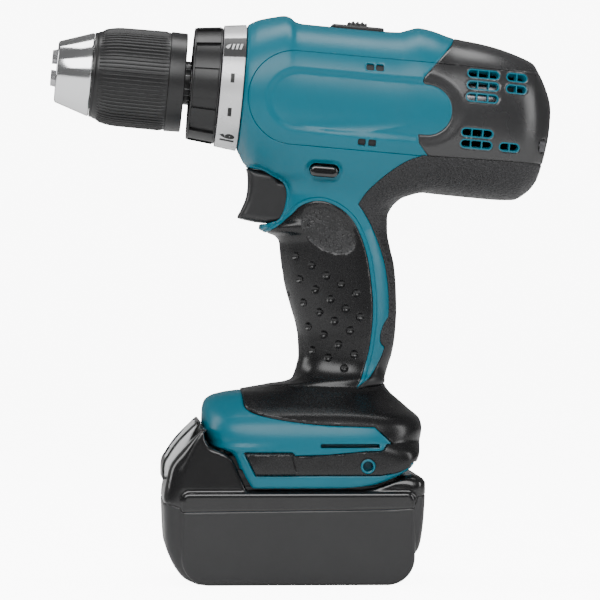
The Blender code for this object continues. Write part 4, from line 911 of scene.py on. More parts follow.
def side_grip(side, points, faces):
    """The smooth over-moulding: the front and flank of the handle, the collar and the foot's band."""
    centres = dimple_places(points)

    def dimples(x, y, z):
        spot = np.stack([x, y, z], -1)
        best = np.full(len(spot), 9.0)
        for centre in centres:
            best = np.minimum(best, np.linalg.norm(spot - centre, axis=1))
        return best

    points, faces = groove_all(points, faces, [
        (dimples, (DIMPLE_R, 1.3, 0.85, 0.4)), (seam_of(THUMB_PAD), (0, -1.3)), (bay_gap, (0,)),
        (foot_pad, (0, -0.9)), (hook_gap, (HOOK_RING + 0.1, HOOK_RING + 0.6)), (trigger_gap, (0,))])
    x, y, z = middle_of(points, faces)
    keep = ((bay_gap(x, y, z) > 0) & (hook_gap(x, y, z) > HOOK_RING + 0.1) & (trigger_gap(x, y, z) > 0)
            & (off_outline(x, z, SIDE_GRIP) < -SEAM))
    points, faces = part_of(points, faces, keep)
    x, y, z = points.T
    edge, pad = off_outline(x, z, SIDE_GRIP), off_outline(x, z, THUMB_PAD) + 20 * (y > -5)
    cup = np.clip(1 - (dimples(x, y, z) / DIMPLE_R) ** 2, 0, 1)
    depth = lip(edge) + lip(y, 0.6, 0.2) + DIMPLE_DEEP * cup + 0.75 * ramp(-pad, 0, 1.3)
    depth -= 0.5 * ramp(-edge, 0.1, 0.6) * ramp(-z, -88, -84)
    depth -= crown_of(foot_pad(x, y, z), 0.9, 0.9) + 0.25 * lip(hook_gap(x, y, z) - HOOK_RING, 0.7, 0.4)
    coarse = np.maximum(ramp(-pad, 0.0, 0.5), 0.03)
    points, normal = sunk(points, depth)
    points, faces = walled(points, faces, normal, WALL["side"])
    coarse = np.concatenate([coarse, coarse])
    return (*(mirrored(points, faces) if side > 0 else (points, faces)), coarse)


def back_grip(side, points, faces):
    """The pebbled rubber down the back of the handle and under the barrel."""
    x, y, z = middle_of(points, faces)
    points, faces = part_of(points, faces, off_outline(x, z, BACK_GRIP) < -SEAM)
    x, y, z = points.T
    depth = lip(off_outline(x, z, BACK_GRIP)) + lip(y, 0.6, 0.2)
    coarse = ramp(z + 0.5 * (x - 40), 100, 107)
    points, normal = sunk(points, depth)
    points, faces = walled(points, faces, normal, WALL["back"])
    coarse = np.concatenate([coarse, coarse])
    return (*(mirrored(points, faces) if side > 0 else (points, faces)), coarse)


def hook_ring(side, points, faces):
    """The teal ring round the hook's hole, which stands up through the band."""
    points, faces = groove_all(points, faces, [(hook_gap,
                                                (HOOK_RING - 0.05, HOOK_HOLE, (HOOK_RING + HOOK_HOLE) / 2))])
    away = hook_gap(*middle_of(points, faces))
    points, faces = part_of(points, faces, (away < HOOK_RING - 0.05) & (away > HOOK_HOLE))
    away = hook_gap(*points.T)
    points, normal = sunk(points, -0.5 + lip(away - HOOK_HOLE, 0.4, 0.25) + lip(away - HOOK_RING, 0.4, 0.25))
    points, faces = walled(points, faces, normal, 4.0)
    return mirrored(points, faces) if side > 0 else (points, faces)


def rear_cover():
    """The charcoal end cap and the teal vent frames that show through it."""
    points, faces = skin(tool_field, (50, -36, 176), (117, 36, 242), GRID["cover"])
    points, faces = groove_all(points, faces, [(seam_of(COVER), (-SEAM, -SEAM_LIP))])
    x, y, z = middle_of(points, faces)
    points, faces = part_of(points, faces, off_outline(x, z, COVER) < -SEAM)
    points, faces = groove_all(points, faces, [
        (lambda x, y, z: flank_only(vent_of(x, y, z), y, 10), (0.45, 0, -VENT_RIM)),
        (lambda x, y, z: flank_only(vent_bars(x, y, z), y, 10), (0,)),
        (lambda x, y, z: axis_up(x, z), (CREASE_R - 0.35, CREASE_R, CREASE_R + 0.35)),
        (rear_screw_gap, (0, 0.4))])
    x, y, z = middle_of(points, faces)
    slot = flank_only(vent_of(x, y, z), y, 10)
    solid = (slot > 0) & (rear_screw_gap(x, y, z) > 0)
    frame_part = (slot < 0) & ((slot > -VENT_RIM) | (vent_bars(x, y, z) < 0))
    made = []
    for mask, wall in ((solid, WALL["cover"]), (frame_part, WALL["vent"])):
        p, f = part_of(points, faces, mask)
        x, y, z = p.T
        u, r = in_barrel(x, z)
        flank = ramp(np.abs(y), 9, 14)
        away = np.hypot(u + 79, r + 3.5)
        depth = 1.15 * (1 - ramp(away, 11.4, 17.0)) * flank + lip(crease(x, y, z), 0.35, 0.6)
        if mask is solid:
            depth += lip(off_outline(x, z, COVER)) + lip(vent_of(x, y, z), 0.45, 0.25) * flank
            depth += lip(rear_screw_gap(x, y, z), 0.4, 0.2)
        else:
            depth += 0.3
        p, normal = sunk(p, depth)
        made.append(walled(p, f, normal, wall))
    return made


def seam_backing(points, faces, x, z):
    """Strips behind the seams, which keep light out of the gaps."""
    away = np.minimum.reduce([np.abs(off_outline(x, z, ring)) for ring in (SIDE_GRIP, BACK_GRIP, COVER)]
                             + [window(x, -20.0, z)])
    points, faces = part_of(points, faces, away < 1.7)
    keep = bay_gap(*middle_of(points, faces)) > 0.3
    points, faces = part_of(points, faces, keep)
    points, normal = sunk(points, np.full(len(points), 1.35))
    return walled(points, faces, normal, 0.8)


def build_body():
    points, faces = half_skin()
    x, _, z = middle_of(points, faces)
    on_side = off_outline(x, z, SIDE_GRIP) < -SEAM
    on_back = off_outline(x, z, BACK_GRIP) < -SEAM
    clear = np.minimum.reduce([off_outline(x, z, ring) for ring in (SIDE_GRIP, BACK_GRIP, COVER)]) > SEAM
    shell = part_of(points, faces, clear)
    flank = part_of(points, faces, on_side)
    back = part_of(points, faces, on_back)
    backing = seam_backing(points, faces, x, z)
    for side, word in ((-1, "left"), (1, "right")):
        mesh_piece(f"housing_shell_{word}", *shell_half(side, *shell), "housing_shell", "housing",
                   (f"housing_{word}",))
        p, f, coarse = side_grip(side, *flank)
        mesh_piece(f"side_grip_{word}", p, f, "smooth_grip", "housing", (f"grip_{word}",), coarse=coarse)
        p, f, coarse = back_grip(side, *back)
        mesh_piece(f"back_grip_rubber_{word}", p, f, "rough_grip", "housing", (f"back_grip_{word}",),
                   coarse=coarse)
        strips = mirrored(*backing) if side > 0 else backing
        mesh_piece(f"seam_backing_{word}", *strips, "inner_plastic", "housing")
        mesh_piece(f"hook_ring_{word}", *hook_ring(side, *flank), "housing_shell", "housing")
    cap, vents = rear_cover()
    mesh_piece("end_cap", *cap, "cover_plastic", "housing", ("rear_cover",))
    mesh_piece("vent_frames", *vents, "housing_shell", "housing")
    build_bay()


def channel(work, ring, wall, low, high):
    """A folded sheet along X that follows the (y, z) ring, thickened outward."""
    ring = np.array(ring, float)
    ends = [np.column_stack([np.full(len(ring), x), ring]) for x in (low, high)]
    centre = ring.mean(0)
    outer = ring + np.sign(ring - centre) * wall
    ends += [np.column_stack([np.full(len(ring), x), outer]) for x in (low, high)]
    rows = [[work.verts.new(p) for p in end] for end in ends]
    n = len(ring)
    for i in range(n - 1):
        for a, b in ((0, 1), (3, 2)):
            work.faces.new((rows[a][i], rows[a][i + 1], rows[b][i + 1], rows[b][i]))
        for a, b in ((0, 2), (1, 3)):
            work.faces.new((rows[a][i], rows[a][i + 1], rows[b][i + 1], rows[b][i]))
    for i in (0, n - 1):
        work.faces.new((rows[0][i], rows[2][i], rows[3][i], rows[1][i]))


def build_bay():
    """The lining that the battery's tower slides into, with its two rails."""
    work = bmesh.new()
    channel(work, ((-33.1, 50.2), (-33.1, 60.3), (33.1, 60.3), (33.1, 50.2)), 1.2, -20.0, 46.4)
    for side in (-1, 1):
        for size, place in (((33.0, 4.0, 2.7), (6.5, side * 34.2, 44.3)),
                            ((33.0, 3.4, 1.2), (6.5, side * 35.4, 50.2))):
            box = bmesh.ops.create_cube(work, size=1)["verts"]
            bmesh.ops.scale(work, vec=size, verts=box)
            bmesh.ops.translate(work, vec=place, verts=box)
            edges = list({e for v in box for e in v.link_edges})
            bmesh.ops.bevel(work, geom=edges, offset=0.4, segments=2, affect="EDGES")
    bmesh.ops.recalc_face_normals(work, faces=work.faces)
    bmesh.ops.scale(work, vec=(MM, MM, MM), verts=work.verts)
    data = bpy.data.meshes.new("battery_bay")
    work.to_mesh(data)
    work.free()
    placed(data, "battery_bay", "housing_shell", "housing")


# ---- pieces turned round the barrel's axis ---------------------------------------------------
def barrel_point(u, side, up):
    """Places in the barrel's own frame, as places of the tool."""
    u, side, up = np.broadcast_arrays(*(np.asarray(v, float) for v in (u, side, up)))
    return np.stack([AXIS_X - u * LEAN + up * RISE, side, AXIS_Z + u * RISE + up * LEAN], -1)


def rounded(corners, steps=4):
    """A closed profile of (u, r, corner size) rows with its corners rounded."""
    rows = np.array(corners, float)
    out = []
    for before, here, after in zip(np.roll(rows, 1, axis=0), rows, np.roll(rows, -1, axis=0)):
        back, on = before[:2] - here[:2], after[:2] - here[:2]
        reach = min(here[2], 0.48 * np.linalg.norm(back), 0.48 * np.linalg.norm(on))
        if reach <= 0:
            out.append(here[:2])
            continue
        start = here[:2] + back / np.linalg.norm(back) * reach
        end = here[:2] + on / np.linalg.norm(on) * reach
        for t in np.linspace(0, 1, steps + 1):
            out.append((1 - t) ** 2 * start + 2 * t * (1 - t) * here[:2] + t * t * end)
    return np.array(out)


def turned(corners, count=144):
    """A ring with that closed profile round the barrel's axis."""
    profile = rounded(corners)
    n = len(profile)
    angle = np.arange(count) * 2 * math.pi / count
    u = np.tile(profile[:, 0], count)
    r = np.tile(profile[:, 1], count)
    around = np.repeat(angle, n)
    points = barrel_point(u, -r * np.cos(around), r * np.sin(around))
    k, i = np.divmod(np.arange(n * count), n)
    a, b = k * n + i, k * n + (i + 1) % n
    c, d = (k + 1) % count * n + (i + 1) % n, (k + 1) % count * n + i
    faces = np.concatenate([np.stack([a, b, c], 1), np.stack([a, c, d], 1)])
    first, second, third = (points[faces[:, j]] for j in range(3))
    if (first * np.cross(second, third)).sum() < 0:
        faces = faces[:, ::-1]
    return points, faces


def ring_tree():
    """Copies of the mesh turned about its own X axis: count of them, a step apart, from a start angle."""
    tree = bpy.data.node_groups.new("ring_of_copies", "GeometryNodeTree")
    face = tree.interface
    face.new_socket("Geometry", in_out="INPUT", socket_type="NodeSocketGeometry")
    for label, kind, value in (("Count", "NodeSocketInt", 12), ("Step", "NodeSocketFloat", 0.5),
                               ("Start", "NodeSocketFloat", 0.0), ("Finish", "NodeSocketMaterial", None)):
        socket = face.new_socket(label, in_out="INPUT", socket_type=kind)
        if value is not None:
            socket.default_value = value
    face.new_socket("Geometry", in_out="OUTPUT", socket_type="NodeSocketGeometry")
    given, out = tree.nodes.new("NodeGroupInput"), tree.nodes.new("NodeGroupOutput")
    spots = tree.nodes.new("GeometryNodePoints")
    index = tree.nodes.new("GeometryNodeInputIndex")
    turn, shift = tree.nodes.new("ShaderNodeMath"), tree.nodes.new("ShaderNodeMath")
    turn.operation, shift.operation = "MULTIPLY", "ADD"
    vector = tree.nodes.new("ShaderNodeCombineXYZ")
    copies = tree.nodes.new("GeometryNodeInstanceOnPoints")
    real = tree.nodes.new("GeometryNodeRealizeInstances")
    painted = tree.nodes.new("GeometryNodeSetMaterial")
    for source, target in ((given.outputs["Count"], spots.inputs["Count"]),
                           (index.outputs[0], turn.inputs[0]),
                           (given.outputs["Step"], turn.inputs[1]), (turn.outputs[0], shift.inputs[0]),
                           (given.outputs["Start"], shift.inputs[1]), (shift.outputs[0], vector.inputs["X"]),
                           (spots.outputs[0], copies.inputs["Points"]),
                           (given.outputs["Geometry"], copies.inputs["Instance"]),
                           (vector.outputs[0], copies.inputs["Rotation"]),
                           (copies.outputs[0], real.inputs[0]), (real.outputs[0], painted.inputs["Geometry"]),
                           (given.outputs["Finish"], painted.inputs["Material"]),
                           (painted.outputs[0], out.inputs["Geometry"])):
        tree.links.new(source, target)
    return tree


RING_TREE = ring_tree()


def to_tool(mesh):
    """A mesh from the barrel's frame, moved to the tool's."""
    mesh.transform(Matrix.Scale(MM, 4) @ BARREL_FRAME @ Matrix.Scale(1 / MM, 4))
    return mesh


def ring_of(item, slot, count, step, start=0.0):
    """That many copies of an item round the barrel's axis, as one mesh in the tool's own place.
    The item lies in the barrel's frame, in metres: X forward, Y to the left and Z up.
    Angle 0 is on the left."""
    holder = in_scene("ring_item", item)
    repeat = holder.modifiers.new("copies", "NODES")
    repeat.node_group = RING_TREE
    values = {"Count": count, "Step": step, "Start": start, "Finish": FINISH[slot]}
    for socket in RING_TREE.interface.items_tree:
        if socket.in_out == "INPUT" and socket.name in values:
            repeat[socket.identifier] = values[socket.name]
    holder.update_tag()
    made = baked(holder)
    bpy.data.objects.remove(holder)
    return to_tool(made)


def mesh_from(work, name="item"):
    bmesh.ops.recalc_face_normals(work, faces=work.faces)
    bmesh.ops.triangulate(work, faces=work.faces)
    mesh = bpy.data.meshes.new(name)
    work.to_mesh(mesh)
    work.free()
    return mesh


def arc_item(u_places, radii, floor_radii, half_angle, edge, steps=8):
    """A raised block on a ring: its top follows the radii, its foot the floor radii, its edges rounded.
    It's centred on the left side, in metres, in the barrel's frame."""
    work = bmesh.new()
    grid = []
    for angle in np.linspace(-half_angle, half_angle, steps):
        row = []
        for u, r in [*zip(u_places, radii), *zip(u_places[::-1], floor_radii[::-1])]:
            row.append(work.verts.new((u * MM, r * math.cos(angle) * MM, r * math.sin(angle) * MM)))
        grid.append(row)
    n = len(grid[0])
    for a, b in zip(grid, grid[1:]):
        for i in range(n):
            work.faces.new((a[i], a[(i + 1) % n], b[(i + 1) % n], b[i]))
    work.faces.new(grid[0][::-1])
    work.faces.new(grid[-1])
    if edge:
        sharp = [e for e in work.edges if e.calc_face_angle(0) > math.radians(40)]
        bmesh.ops.bevel(work, geom=sharp, offset=edge * MM, segments=2, affect="EDGES", clamp_overlap=True)
    return mesh_from(work)


# the chuck, the torque knob and its scale
SLEEVE_PROFILE = ((25.2, 21.7), (54.0, 21.5), (58.5, 20.9), (62.0, 19.9), (64.3, 18.7))
RIBS, RIB_DEEP, RIB_REAR, RIB_FRONT = 74, 0.55, 32.6, 63.0
PADS, PAD_HALF, PAD_HIGH, PAD_START = 12, math.radians(9.0), 0.95, math.radians(-6.2)
SCALE_MARKS = ("drill", "", "", "16", "", "", "11", "", "6", "", "1")
SCALE_START, SCALE_STEP = math.radians(38.0), math.radians(-31.9)
MARK_THICK = 0.05
# the scale band's rear radius, the radius its marks are bent to, and the step between cuts across a mark
BAND_R, MARK_R, MARK_STEP = 27.6, 26.9, 0.8


def sleeve_r(u):
    return eased(np.asarray(u, float), SLEEVE_PROFILE)


def band_r(u):
    """The scale band narrows evenly towards the front."""
    return BAND_R - (np.asarray(u, float) - 0.3) / 9.7 * 1.2


def rib_item():
    """One lengthwise rib of the sleeve, half round across."""
    work = bmesh.new()
    across = np.linspace(-1, 1, 7)
    half = math.pi / RIBS * 0.62
    grid = []
    for u in np.linspace(RIB_REAR, RIB_FRONT, 14):
        fade = min(1.0, (u - RIB_REAR + 0.15) / 0.6, (RIB_FRONT - u + 0.15) / 0.9)
        row = []
        for t in across:
            r = float(sleeve_r(u)) - RIB_DEEP - 0.12 + (RIB_DEEP + 0.12) * fade * math.sqrt(max(0.0,
                                                                                                1 - t * t))
            angle = t * half
            row.append(work.verts.new((u * MM, r * math.cos(angle) * MM, r * math.sin(angle) * MM)))
        grid.append(row)
    for a, b in zip(grid, grid[1:]):
        for i in range(len(across) - 1):
            work.faces.new((a[i], a[i + 1], b[i + 1], b[i]))
        work.faces.new((a[-1], a[0], b[0], b[-1]))
    work.faces.new(grid[0])
    work.faces.new(grid[-1][::-1])
    return mesh_from(work)


def wrapped(work, angle, u):
    """A flat mark (x round the band, y forward, z outward, in mm) laid on the scale band at that angle."""
    low = min(v.co.x for v in work.verts)
    high = max(v.co.x for v in work.verts)
    for x in np.arange(low + MARK_STEP, high, MARK_STEP):
        bmesh.ops.bisect_plane(work, geom=work.verts[:] + work.edges[:] + work.faces[:], dist=1e-5,
                               plane_co=(x, 0, 0), plane_no=(1, 0, 0))
    for v in work.verts:
        along = u + v.co.y
        r = float(band_r(along)) + v.co.z
        a = angle + v.co.x / MARK_R
        v.co = (along * MM, r * math.cos(a) * MM, r * math.sin(a) * MM)
    return mesh_from(work, "mark")


def flat_shape(outline_points, low=-MARK_THICK, high=MARK_THICK):
    """A thin slab with that outline."""
    work = bmesh.new()
    foot = [work.verts.new((x, y, low)) for x, y in outline_points]
    top = [work.verts.new((x, y, high)) for x, y in outline_points]
    n = len(foot)
    work.faces.new(foot[::-1])
    work.faces.new(top)
    for i in range(n):
        work.faces.new((foot[i], foot[(i + 1) % n], top[(i + 1) % n], top[i]))
    return work


def numeral(text, height):
    """The number as a thin mesh, centred, x along its reading direction."""
    curve = bpy.data.curves.new("numeral", "FONT")
    curve.body = text
    curve.size = height / 0.72
    curve.extrude = MARK_THICK
    curve.align_x, curve.align_y = "CENTER", "CENTER"
    curve.resolution_u = 4
    curve.offset = 0.55
    holder = in_scene("numeral", curve)
    mesh = baked(holder)
    bpy.data.objects.remove(holder)
    work = bmesh.new()
    work.from_mesh(mesh)
    bmesh.ops.remove_doubles(work, verts=work.verts, dist=1e-4)
    middle = (max(v.co.y for v in work.verts) + min(v.co.y for v in work.verts)) / 2
    for v in work.verts:
        v.co.x *= 0.82
        v.co.y -= middle
    return work


def joined(meshes, name):
    """Several meshes as one."""
    work = bmesh.new()
    for mesh in meshes:
        work.from_mesh(mesh)
    out = bpy.data.meshes.new(name)
    work.to_mesh(out)
    work.free()
    return out


def build_scale():
    ring = ((0.35, 24.2, 0), (0.35, BAND_R, 0.35), (9.95, 26.4, 0.25), (9.95, 24.2, 0))
    mesh_piece("scale_ring", *turned(ring), "scale_band", "torque_ring", ("torque_band",), sharp=40)
    ink, white = [], []
    for k, mark in enumerate(SCALE_MARKS):
        angle = SCALE_START + SCALE_STEP * k
        if mark == "drill":
            patch = ((-5.3, -4.75), (5.3, -4.75), (5.3, 4.7), (-5.3, 4.7))
            placed(to_tool(wrapped(flat_shape(patch), angle, 5.15)), "drill_patch", "cover_plastic",
                   "torque_ring",
                   finish="dark_patch")
            tip = ((-1.3, 3.1), (-0.2, 4.2), (0.9, 3.3), (1.5, 1.9), (-0.4, 2.3))
            shapes = [tip] + [((-1.5, y), (1.5, y - 0.6), (1.5, y - 1.55), (-1.5, y - 0.95))
                              for y in (1.6, -0.1, -1.8)]
            white += [wrapped(flat_shape(s, 0.0, 2 * MARK_THICK), angle, 5.0) for s in shapes]
        elif mark:
            ink.append(wrapped(numeral(mark, 5.4), angle, 5.2))
    dash = flat_shape(((-2.0, -0.85), (2.0, -0.85), (2.0, 0.85), (-2.0, 0.85)))
    dash_mesh = wrapped(dash, 0.0, 5.2)
    rings = []
    for first, count in ((1, 2), (4, 2), (7, 1), (9, 1)):
        rings.append(ring_of(dash_mesh.copy(), "mark_ink", count, SCALE_STEP,
                             SCALE_START + SCALE_STEP * first))
    marks = joined([to_tool(m) for m in ink] + rings, "scale_marks")
    placed(marks, "scale_marks", "cover_plastic", "torque_ring", finish="mark_ink")
    placed(to_tool(joined(white, "drill_mark")), "drill_mark", "scale_band", "torque_ring")


def build_knob():
    low, high = 25.6 - PAD_HIGH, 24.4 - PAD_HIGH
    core = ((10.3, 20.4, 0), (10.3, 25.3, 0.3), (11.2, 25.3, 0.3), (11.25, low, 0.15), (21.55, high, 0.15),
            (21.6, 24.3, 0.3), (22.5, 24.2, 0.35), (22.5, 15.2, 0.4), (20.6, 14.6, 0), (20.6, 20.4, 0))
    mesh_piece("knob_ring", *turned(core), "chuck_plastic", "torque_ring", ("torque_knob",), sharp=40)
    pad = arc_item((11.15, 16.4, 21.65), (25.62, 25.05, 24.45),
                   (low - 0.3, (low + high) / 2 - 0.3, high - 0.3),
                   PAD_HALF, 0.3)
    pads = ring_of(pad, "chuck_plastic", PADS, 2 * math.pi / PADS, PAD_START)
    placed(pads, "knob_pads", "chuck_plastic", "torque_ring", sharp=35)


def build_sleeve():
    core = [(25.3, 16.0, 0), (25.3, 21.5, 0.6), (32.2, 21.68, 0), (32.5, 21.65 - RIB_DEEP, 0)]
    core += [(u, float(sleeve_r(u)) - RIB_DEEP, 0) for u in np.linspace(36, 62.4, 12)]
    core += [(63.2, 19.0, 0.3), (64.3, 18.55, 0.5), (64.3, 17.0, 0), (60, 16.0, 0)]
    mesh_piece("sleeve_core", *turned(core), "chuck_plastic", "sleeve", ("chuck_sleeve",), sharp=40)
    ribs = ring_of(rib_item(), "chuck_plastic", RIBS, 2 * math.pi / RIBS)
    placed(ribs, "sleeve_ribs", "chuck_plastic", "sleeve", sharp=50)
    seal = ((64.2, 16.5, 0), (64.2, 18.45, 0.2), (65.45, 18.3, 0.2), (65.45, 16.5, 0))
    mesh_piece("chuck_seal", *turned(seal), "chuck_plastic", "chuck")
    collar = ((22.6, 6.5, 0), (22.6, 9.5, 0.3), (25.4, 9.5, 0), (25.4, 15.5, 0), (27.5, 15.5, 0),
              (27.5, 6.5, 0))
    mesh_piece("chuck_collar", *turned(collar, 72), "chuck_plastic", "chuck")


JAW_LEAN, JAW_TIP, JAW_TIP_R, JAW_R = math.radians(17), 83.2, 5.6, 3.4


def carved(points, faces, cutters):
    """The mesh with the cutters' shapes taken out of it, in metres."""
    def holder_of(p, f):
        mesh = bpy.data.meshes.new("work")
        mesh.from_pydata((np.asarray(p) * MM).tolist(), [], np.asarray(f).tolist())
        return in_scene("work", mesh)

    body = holder_of(points, faces)
    tools = [holder_of(*cutter) for cutter in cutters]
    for tool in tools:
        cut = body.modifiers.new("cut", "BOOLEAN")
        cut.operation, cut.solver, cut.object = "DIFFERENCE", "EXACT", tool
    made = baked(body)
    for holder in (body, *tools):
        bpy.data.objects.remove(holder)
    work = bmesh.new()
    work.from_mesh(made)
    bmesh.ops.triangulate(work, faces=work.faces)
    work.to_mesh(made)
    work.free()
    return made


def rod_mesh(start, end, radius, count=40):
    """A straight rod between two places of the tool, in mm."""
    start, end = np.array(start, float), np.array(end, float)
    along = (end - start) / np.linalg.norm(end - start)
    side = np.cross(along, (0.3, 0.9, 0.1))
    side /= np.linalg.norm(side)
    up = np.cross(along, side)
    angle = np.arange(count) * 2 * math.pi / count
    ring = radius * (np.cos(angle)[:, None] * side + np.sin(angle)[:, None] * up)
    points = np.vstack([start + ring, end + ring, start, end])
    i = np.arange(count)
    j = (i + 1) % count
    faces = np.concatenate([np.stack([i, j, j + count], 1), np.stack([i, j + count, i + count], 1),
                            np.stack([np.full(count, 2 * count), j, i], 1),
                            np.stack([np.full(count, 2 * count + 1), i + count, j + count], 1)])
    return points, faces


def build_nose():
    """The polished nose, with a bore for the bit and a slanting channel for each jaw."""
    shape = ((46, 6.8, 0), (46, 14.8, 0), (65.5, 14.8, 0), (65.5, 17.7, 0.2), (66.1, 18.2, 0.5),
             (80.6, 13.35, 0.9), (81.0, 12.4, 0.5), (81.0, 8.6, 0.4), (79.2, 6.8, 0.4))
    channels = []
    for k in range(3):
        angle = 2 * math.pi * k / 3 + math.pi / 2
        ends = []
        for back in (34.0, -7.0):
            r = JAW_TIP_R + back * math.sin(JAW_LEAN)
            ends.append(barrel_point(JAW_TIP - back * math.cos(JAW_LEAN), r * math.cos(angle),
                                     r * math.sin(angle)))
        channels.append(rod_mesh(*ends, JAW_R + 0.35))
    made = carved(*turned(shape), channels)
    placed(made, "chuck_nose", "polished_steel", "chuck", ("chuck_body",), sharp=30)


# ---- trigger, lever and speed selector ------------------------------------------------------
TRIGGER = outline(((-19.7, 179.4), (-19.0, 177), (-18.9, 171.5), (-19.7, 166.4), (-21.5, 162),
                   (-23.2, 159.0)),
                  ((-23.2, 159.0), (-23.3, 157.9), (-22.2, 157.4)),
                  ((-22.2, 157.4), (-14.6, 155.8), (-8, 155.5), (1, 155.6)), ((1, 155.6), (1, 173.8)),
                  ((1, 173.8), (-5.2, 174.4)), ((-5.2, 174.4), (-7.7, 177.6)),
                  ((-7.7, 177.6), (-19.7, 179.4)))


SELECTOR_U, SELECTOR_PITCH = -47.7, 2.0


def build_controls():
    side = flat_field(TRIGGER)

    def trigger_shape(x, y, z):
        return shared(side(x, z), np.abs(y) - 9.0, 3.4)

    mesh_piece("trigger_blade", *skin(trigger_shape, (-25, -10, 154.5), (2.5, 10, 181), GRID["trigger"]),
               "trigger_plastic",
               "trigger", ("trigger",), sharp=50)

    def lever_shape(x, y, z):
        rod = off_oblong(*in_lever(x, z + 0.1), LEVER_LONG - 0.1, LEVER_HIGH - 0.1)
        return np.minimum(shared(rod, np.abs(y) - 25.6, 1.6), shared(rod - 2.2, np.abs(y) - 13.0, 0.8))

    mesh_piece("direction_lever", *skin(lever_shape, (3, -26.5, 171.5), (23, 26.5, 184), GRID["lever"]),
               "lever_plastic",
               "reverse_lever", ("reverse_lever",), sharp=60)

    def frame_shape(x, y, z):
        u, r = in_barrel(x, z)
        plate = off_box(u + 47.9, y, 11.4, 7.9, 2.2)
        slot = off_box(u + 47.8, y, 9.4, 5.6, 1.2)
        return shared(shared(plate, -slot, 0.5), np.abs(r - 29.7) - 1.5, 0.9)

    low, high = barrel_point(-34, 0, 24), barrel_point(-62, 0, 36)
    box_low = (min(low[0], high[0]) - 2, -9, min(low[2], high[2]))
    box_high = (max(low[0], high[0]) + 2, 9, max(low[2], high[2]) + 1)
    mesh_piece("selector_surround", *skin(frame_shape, box_low, box_high, GRID["surround"]),
               "inner_plastic", "housing",
               ("selector_frame",), sharp=50, finish="chuck_plastic")

    def selector_shape(x, y, z):
        u, r = in_barrel(x, z)
        along = u - SELECTOR_U
        ridge = 0.45 * np.cos(along * 2 * math.pi / SELECTOR_PITCH) * (np.abs(along) < 3.6)
        knob = shared(off_box(u - SELECTOR_U, y, 4.2, 5.1, 1.2), np.abs(r - 29.4) - 3.4 - ridge, 0.9)
        plate = shared(off_box(u - SELECTOR_U, y, 14.0, 5.2, 0.5), np.abs(r - 27.2) - 0.7, 0.3)
        return np.minimum(knob, plate)

    mesh_piece("selector_slide", *skin(selector_shape, box_low, box_high, GRID["selector"]),
               "inner_plastic", "selector",
               ("speed_selector",), sharp=40, finish="chuck_plastic")


# ---- battery ----------------------------------------------------------------------------------
PACK = outline(
    ((40, 0.4), (-41.4, 0.4)), ((-41.4, 0.4), (-47.1, 2.8), (-51.1, 7.3), (-54.4, 13.8), (-55.6, 18.6),
                                (-56.2, 30),
                                (-56.2, 38), (-54.8, 46)),
    ((-54.8, 46), (-52.9, 52.2), (-47.2, 59.3), (-39.7, 67.0)), ((-39.7, 67.0), (-38.5, 69.4)),
    ((-38.5, 69.4), (-38.3, 69.0), (-38.8, 64.5), (-37.5, 60.7), (-35.3, 58.9), (-32.3, 57.8), (-28.9, 56.1),
     (-26.8, 53.9), (-25.2, 50.9), (-23, 46), (-20.9, 41.2)), ((-20.9, 41.2), (30, 41.2)),
    ((30, 41.2), (36, 42.4), (43, 45), (48, 47.2), (51.5, 47.4), (54.6, 46.2), (56.2, 44.4)),
    ((56.2, 44.4), (56.2, 38.9), (55.4, 26.7), (53.8, 17), (51, 12.2), (46.5, 5.2), (40, 0.4)))
PACK_SEAM = ((-60, 36.5), (-52, 34.5), (-49.3, 33.5), (-48.6, 31.7), (40, 32.6), (51.2, 33.2), (52.5, 38),
             (58, 39.4))
PACK_LOW, PACK_HIGH = (-59, -38.4, -0.6), (59, 38.4, 72.5)
SLOPE_LOW, SLOPE_HIGH = np.array((-55.9, 53.3)), np.array((-42.6, 69.4))
SLOPE_DIR = (SLOPE_HIGH - SLOPE_LOW) / np.linalg.norm(SLOPE_HIGH - SLOPE_LOW)
SLOPE_OUT = np.array((-SLOPE_DIR[1], SLOPE_DIR[0]))
LATCH = outline(((-56.6, 45.2), (-56.6, 50), (-56.0, 53.2)), ((-56.0, 53.2), (-50.4, 61.4), (-42.4, 69.5)),
                ((-42.4, 69.5), (-40.9, 70.6), (-39.9, 69.8)), ((-39.9, 69.8), (-46.5, 57.4), (-52.0, 51.0)),
                ((-52.0, 51.0), (-53.4, 45.2)), ((-53.4, 45.2), (-56.6, 45.2)))
BUTTON_SIDE, LATCH_RIM = 19.0, 0.8
LATCH_BOX = (-58, -22, 44), (-38.5, 22, 72.5)
SEAM_HALF, SEAM_REACH, SEAM_SINK = 0.12, 0.55, 0.35


def on_slope(x, z):
    """Places along the front slope from its lower end, and above it."""
    a, b = x - SLOPE_LOW[0], z - SLOPE_LOW[1]
    return a * SLOPE_DIR[0] + b * SLOPE_DIR[1], a * SLOPE_OUT[0] + b * SLOPE_OUT[1]


def pack_shape(x, y, z):
    side = flat_field(PACK)(x, z)
    half = 36.2 - 0.045 * np.maximum(z - 42, 0) - 1.2 * ramp(8 - z, 0, 8)
    edge = 1.6 + 6.4 * ramp(-x, 39, 50) + 5.0 * ramp(x, 42, 52)
    core = shared(side, np.abs(y) - half, edge)
    flat = off_box(x - 1.35, z - 20.2, 50.05, 20.0, 3.4)
    lower = np.hypot(np.maximum(np.abs(x - 1.35) - 38.05, 0), np.maximum(12.2 - z, 0)) - 12.0
    flat = np.where(z < 12.2, np.maximum(lower, flat), flat)
    slab = shared(flat, np.abs(y) - 37.5, 1.8)
    return merged(core, slab, 0.5)


def seam_height(x):
    place, value = np.array(PACK_SEAM).T
    return np.interp(x, place, value)


